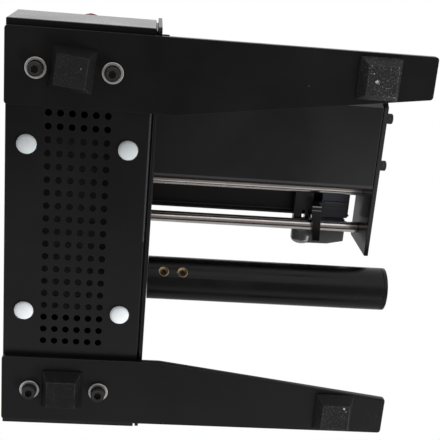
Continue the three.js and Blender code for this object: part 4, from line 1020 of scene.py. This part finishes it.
def make_knob_scale():
    form = bmesh.new()
    for i in range(SCALE_MARKS):
        turn = math.radians(SCALE_START - SCALE_STEP * i)
        away = Vector((-math.sin(turn), math.cos(turn)))
        outside = SCALE_LONG if i % 5 == 0 else SCALE_SHORT
        slab(form, bar_outline(away * SCALE_INSIDE, away * outside, SCALE_HALF), *SCALE_SPAN)
    make_piece("knob_scale", [(form, panel_frame(KNOB_UP))], "nylon", "frame")


def make_digits():
    """Three unlit figures of seven segments, which lie flush in the window's face."""
    form = bmesh.new()
    for middle in DIGIT_MIDDLES:
        corner = [
            Vector((side * DIGIT_HALF_WIDTH, level * DIGIT_HALF_HEIGHT))
            for level in (1, 0, -1) for side in (-1, 1)
        ]
        for a, b in SEGMENTS:
            step = (corner[b] - corner[a]).normalized() * SEGMENT_GAP
            bar = bar_outline(corner[a] + step, corner[b] - step, SEGMENT_HALF)
            slab(form, [(middle + x + y * DIGIT_LEAN, y) for x, y in bar], *SEGMENT_SPAN)
    where = panel_frame(WINDOW_UP, WINDOW_PROUD)
    make_piece("display_digits", [(form, where)], "red_plastic", "frame", 0, segment_finish)


# Knurled thumb screw on the outer disc
THUMB_SCREW = [
    (0, 215.3), (1.8, 215.3), (2.2, 215.7), (2.2, 221.0), (5.4, 221.0), (5.8, 221.5),
    (6.0, 221.8, RIBBED), (6.0, 228.0, RIBBED), (5.6, 228.6), (5.0, 229.0), (4.4, 229.0),
    (4.0, 228.5), (0, 228.5),
]
THUMB_SCREW_STEPS = 120
THUMB_SCREW_RIBS = 20
THUMB_SCREW_RIB_DEPTH = 0.45
THUMB_SCREW_PLACE = (97.45, -8.1, 0)


def make_thumb_screw():
    screw = spun(THUMB_SCREW, THUMB_SCREW_STEPS, THUMB_SCREW_RIBS, THUMB_SCREW_RIB_DEPTH)
    make_piece(
        "knurled_thumb_screw", [(screw, Matrix.Translation(THUMB_SCREW_PLACE))],
        "black_plastic", "outer_disc", replaced=["disc_thumb_screw"],
    )


# Button head screws of the housing's panels and inlet
BUTTON_HEAD = [
    (0, 0.3), (1.25, 0.4, HEX), (1.25, 1.1, HEX), (1.5, 1.3), (1.9, 1.25), (2.35, 0.95),
    (2.65, 0.5), (2.8, 0.1), (2.8, -0.2), (0, -0.2),
]
LEFT_SCREW_FACE = -125.65
LEFT_SCREW_PLACES = (
    (-119, 25), (-119, 56), (-38, 200), (-10, 224), (119, 224), (119, 120), (119, 25), (0, 25),
)
REAR_SCREW_FACE = 127.5
REAR_SCREW_PLACES = ((-115, 26), (-49.8, 26), (-115, 222), (-49.8, 222))
INLET_SCREW_FACE = 129.8
INLET_SCREW_PLACES = ((-113.0, 101), (-74.7, 101))


def make_panel_screws():
    left = [
        (spun(BUTTON_HEAD), facing((LEFT_SCREW_FACE, y, z), (-1, 0, 0), (0, 0, 1)))
        for y, z in LEFT_SCREW_PLACES
    ]
    make_piece("left_panel_screws", left, "black_steel", "frame")
    for name, slot, y, places in (
        ("rear_panel_screws", "black_steel", REAR_SCREW_FACE, REAR_SCREW_PLACES),
        ("inlet_screws", "bright_steel", INLET_SCREW_FACE, INLET_SCREW_PLACES),
    ):
        heads = [(spun(BUTTON_HEAD), facing((x, y, z), (0, 1, 0), (0, 0, 1))) for x, z in places]
        make_piece(name, heads, slot, "frame")


# Dark seam strip in the gap between the housing and the side plate, set back from its edges
SEAM_SPAN = (-40.9, -39.9)
SEAM_BEVEL = 0.2
SEAM_OUTER = ((-128.0, 16.5), (128.0, 16.5), (128.0, 232.0), (-30.4, 232.0), (-128.0, 58.6))
SEAM_INNER = ((-125.0, 19.5), (125.0, 19.5), (125.0, 229.0), (-28.8, 229.0), (-125.0, 57.9))


def make_seam():
    left, right = SEAM_SPAN
    form = bmesh.new()
    rows = [
        [form.verts.new((x, y, z)) for y, z in line]
        for x, line in (
            (left, SEAM_OUTER), (right, SEAM_OUTER), (right, SEAM_INNER), (left, SEAM_INNER),
        )
    ]
    for low, high in zip(rows, rows[1:] + rows[:1]):
        for i in range(len(low)):
            k = (i + 1) % len(low)
            form.faces.new((low[i], low[k], high[k], high[i]))
    make_piece("housing_seam_strip", [(form, Matrix())], "black_paint", "frame", SEAM_BEVEL)


# Stage, lamps and world
FLOOR_HALF = 6
FLOOR_SHADE = 0.86
SWEEP_START = 0.3
SWEEP_END = 1.3
AMBIENT = 0.45
DIM_BELOW = (0.18, 0.155, 0.145, 1)
DIM_BELOW_SPAN = (-0.95, -0.75)
DIM_BEHIND = 0.35
DIM_BEHIND_SPAN = (0.4, 0.8)
# Name, place, target, size in metres, power in watts
LAMPS = (
    ("key", (-0.5, -0.7, 1.1), (0, 0, 0.1), 0.8, 14),
    ("fill", (1.0, 0.4, 0.7), (0, 0, 0.1), 0.9, 6),
    ("under", (0.36, 0.4, -0.44), (0, 0, 0), 0.3, 5.0),
)


def make_floor():
    """A pale floor, seen from above only, that takes the object's shadow and turns to the
    white of the backdrop away from it."""
    mesh = bpy.data.meshes.new("floor")
    form = bmesh.new()
    bmesh.ops.create_grid(form, x_segments=1, y_segments=1, size=FLOOR_HALF)
    form.to_mesh(mesh)
    form.free()
    floor = bpy.data.objects.new("floor", mesh)
    bpy.context.scene.collection.objects.link(floor)
    made = bpy.data.materials.new("floor")
    made.use_nodes = True
    g = Graph(made.node_tree)
    matt = g.add("ShaderNodeBsdfDiffuse")
    matt.inputs["Color"].default_value = grey(FLOOR_SHADE)
    white = g.add("ShaderNodeEmission")
    white.inputs["Strength"].default_value = 1.0
    away = g.add("ShaderNodeVectorMath", operation="LENGTH")
    g.link(g.place(), away.inputs[0])
    sweep = g.add("ShaderNodeMixShader")
    g.link(g.ramp(away.outputs["Value"], SWEEP_START, SWEEP_END), sweep.inputs[0])
    g.link(matt.outputs[0], sweep.inputs[1])
    g.link(white.outputs[0], sweep.inputs[2])
    clear = g.add("ShaderNodeBsdfTransparent")
    mix = g.add("ShaderNodeMixShader")
    g.link(g.add("ShaderNodeNewGeometry").outputs["Backfacing"], mix.inputs[0])
    g.link(sweep.outputs[0], mix.inputs[1])
    g.link(clear.outputs[0], mix.inputs[2])
    output = g.add("ShaderNodeOutputMaterial")
    g.link(mix.outputs[0], output.inputs["Surface"])
    mesh.materials.append(made)
    floor.visible_shadow = False
    floor.visible_diffuse = False
    floor.visible_glossy = False


def make_lamp(name, place, target, size, power):
    data = bpy.data.lights.new(name, "AREA")
    data.shape = "DISK"
    data.size = size
    data.energy = power
    lamp = bpy.data.objects.new(name, data)
    bpy.context.scene.collection.objects.link(lamp)
    lamp.location = place
    lamp.rotation_euler = (Vector(target) - Vector(place)).to_track_quat("-Z", "Y").to_euler()
    lamp.visible_glossy = False
    lamp.visible_camera = False


def make_world():
    """White to the eye. Mirrored, it is dim straight below, where the photographer stood,
    and behind the machine."""
    world = bpy.data.worlds.new("studio")
    bpy.context.scene.world = world
    world.use_nodes = True
    g = Graph(world.node_tree)
    direction = g.add("ShaderNodeTexCoord").outputs["Generated"]
    split = g.add("ShaderNodeSeparateXYZ")
    g.link(direction, split.inputs[0])
    below = g.ramp(split.outputs["Z"], *DIM_BELOW_SPAN)
    behind = g.ramp(split.outputs["Y"], *DIM_BEHIND_SPAN)
    mirrored = g.blend(behind, g.blend(below, DIM_BELOW, grey(1.0)), grey(DIM_BEHIND))
    path = g.add("ShaderNodeLightPath")
    direct = g.math(
        "ADD", path.outputs["Is Camera Ray"], path.outputs["Is Transmission Ray"], clamp=True,
    )
    lit = g.blend(path.outputs["Is Glossy Ray"], grey(AMBIENT), mirrored)
    background = g.add("ShaderNodeBackground")
    background.inputs["Strength"].default_value = 1.0
    g.link(g.blend(direct, lit, grey(1.0)), background.inputs["Color"])
    output = g.add("ShaderNodeOutputWorld")
    g.link(background.outputs[0], output.inputs["Surface"])


make_camera()
dress_nodes()
make_foot_bolts()
make_front_root_pad()
make_table_screws()
make_set_screws()
make_sensor_ribs()
make_knob()
make_knob_scale()
make_digits()
make_thumb_screw()
make_panel_screws()
make_seam()
make_floor()
make_world()
for lamp in LAMPS:
    make_lamp(*lamp)

bpy.context.scene.view_settings.view_transform = "Standard"
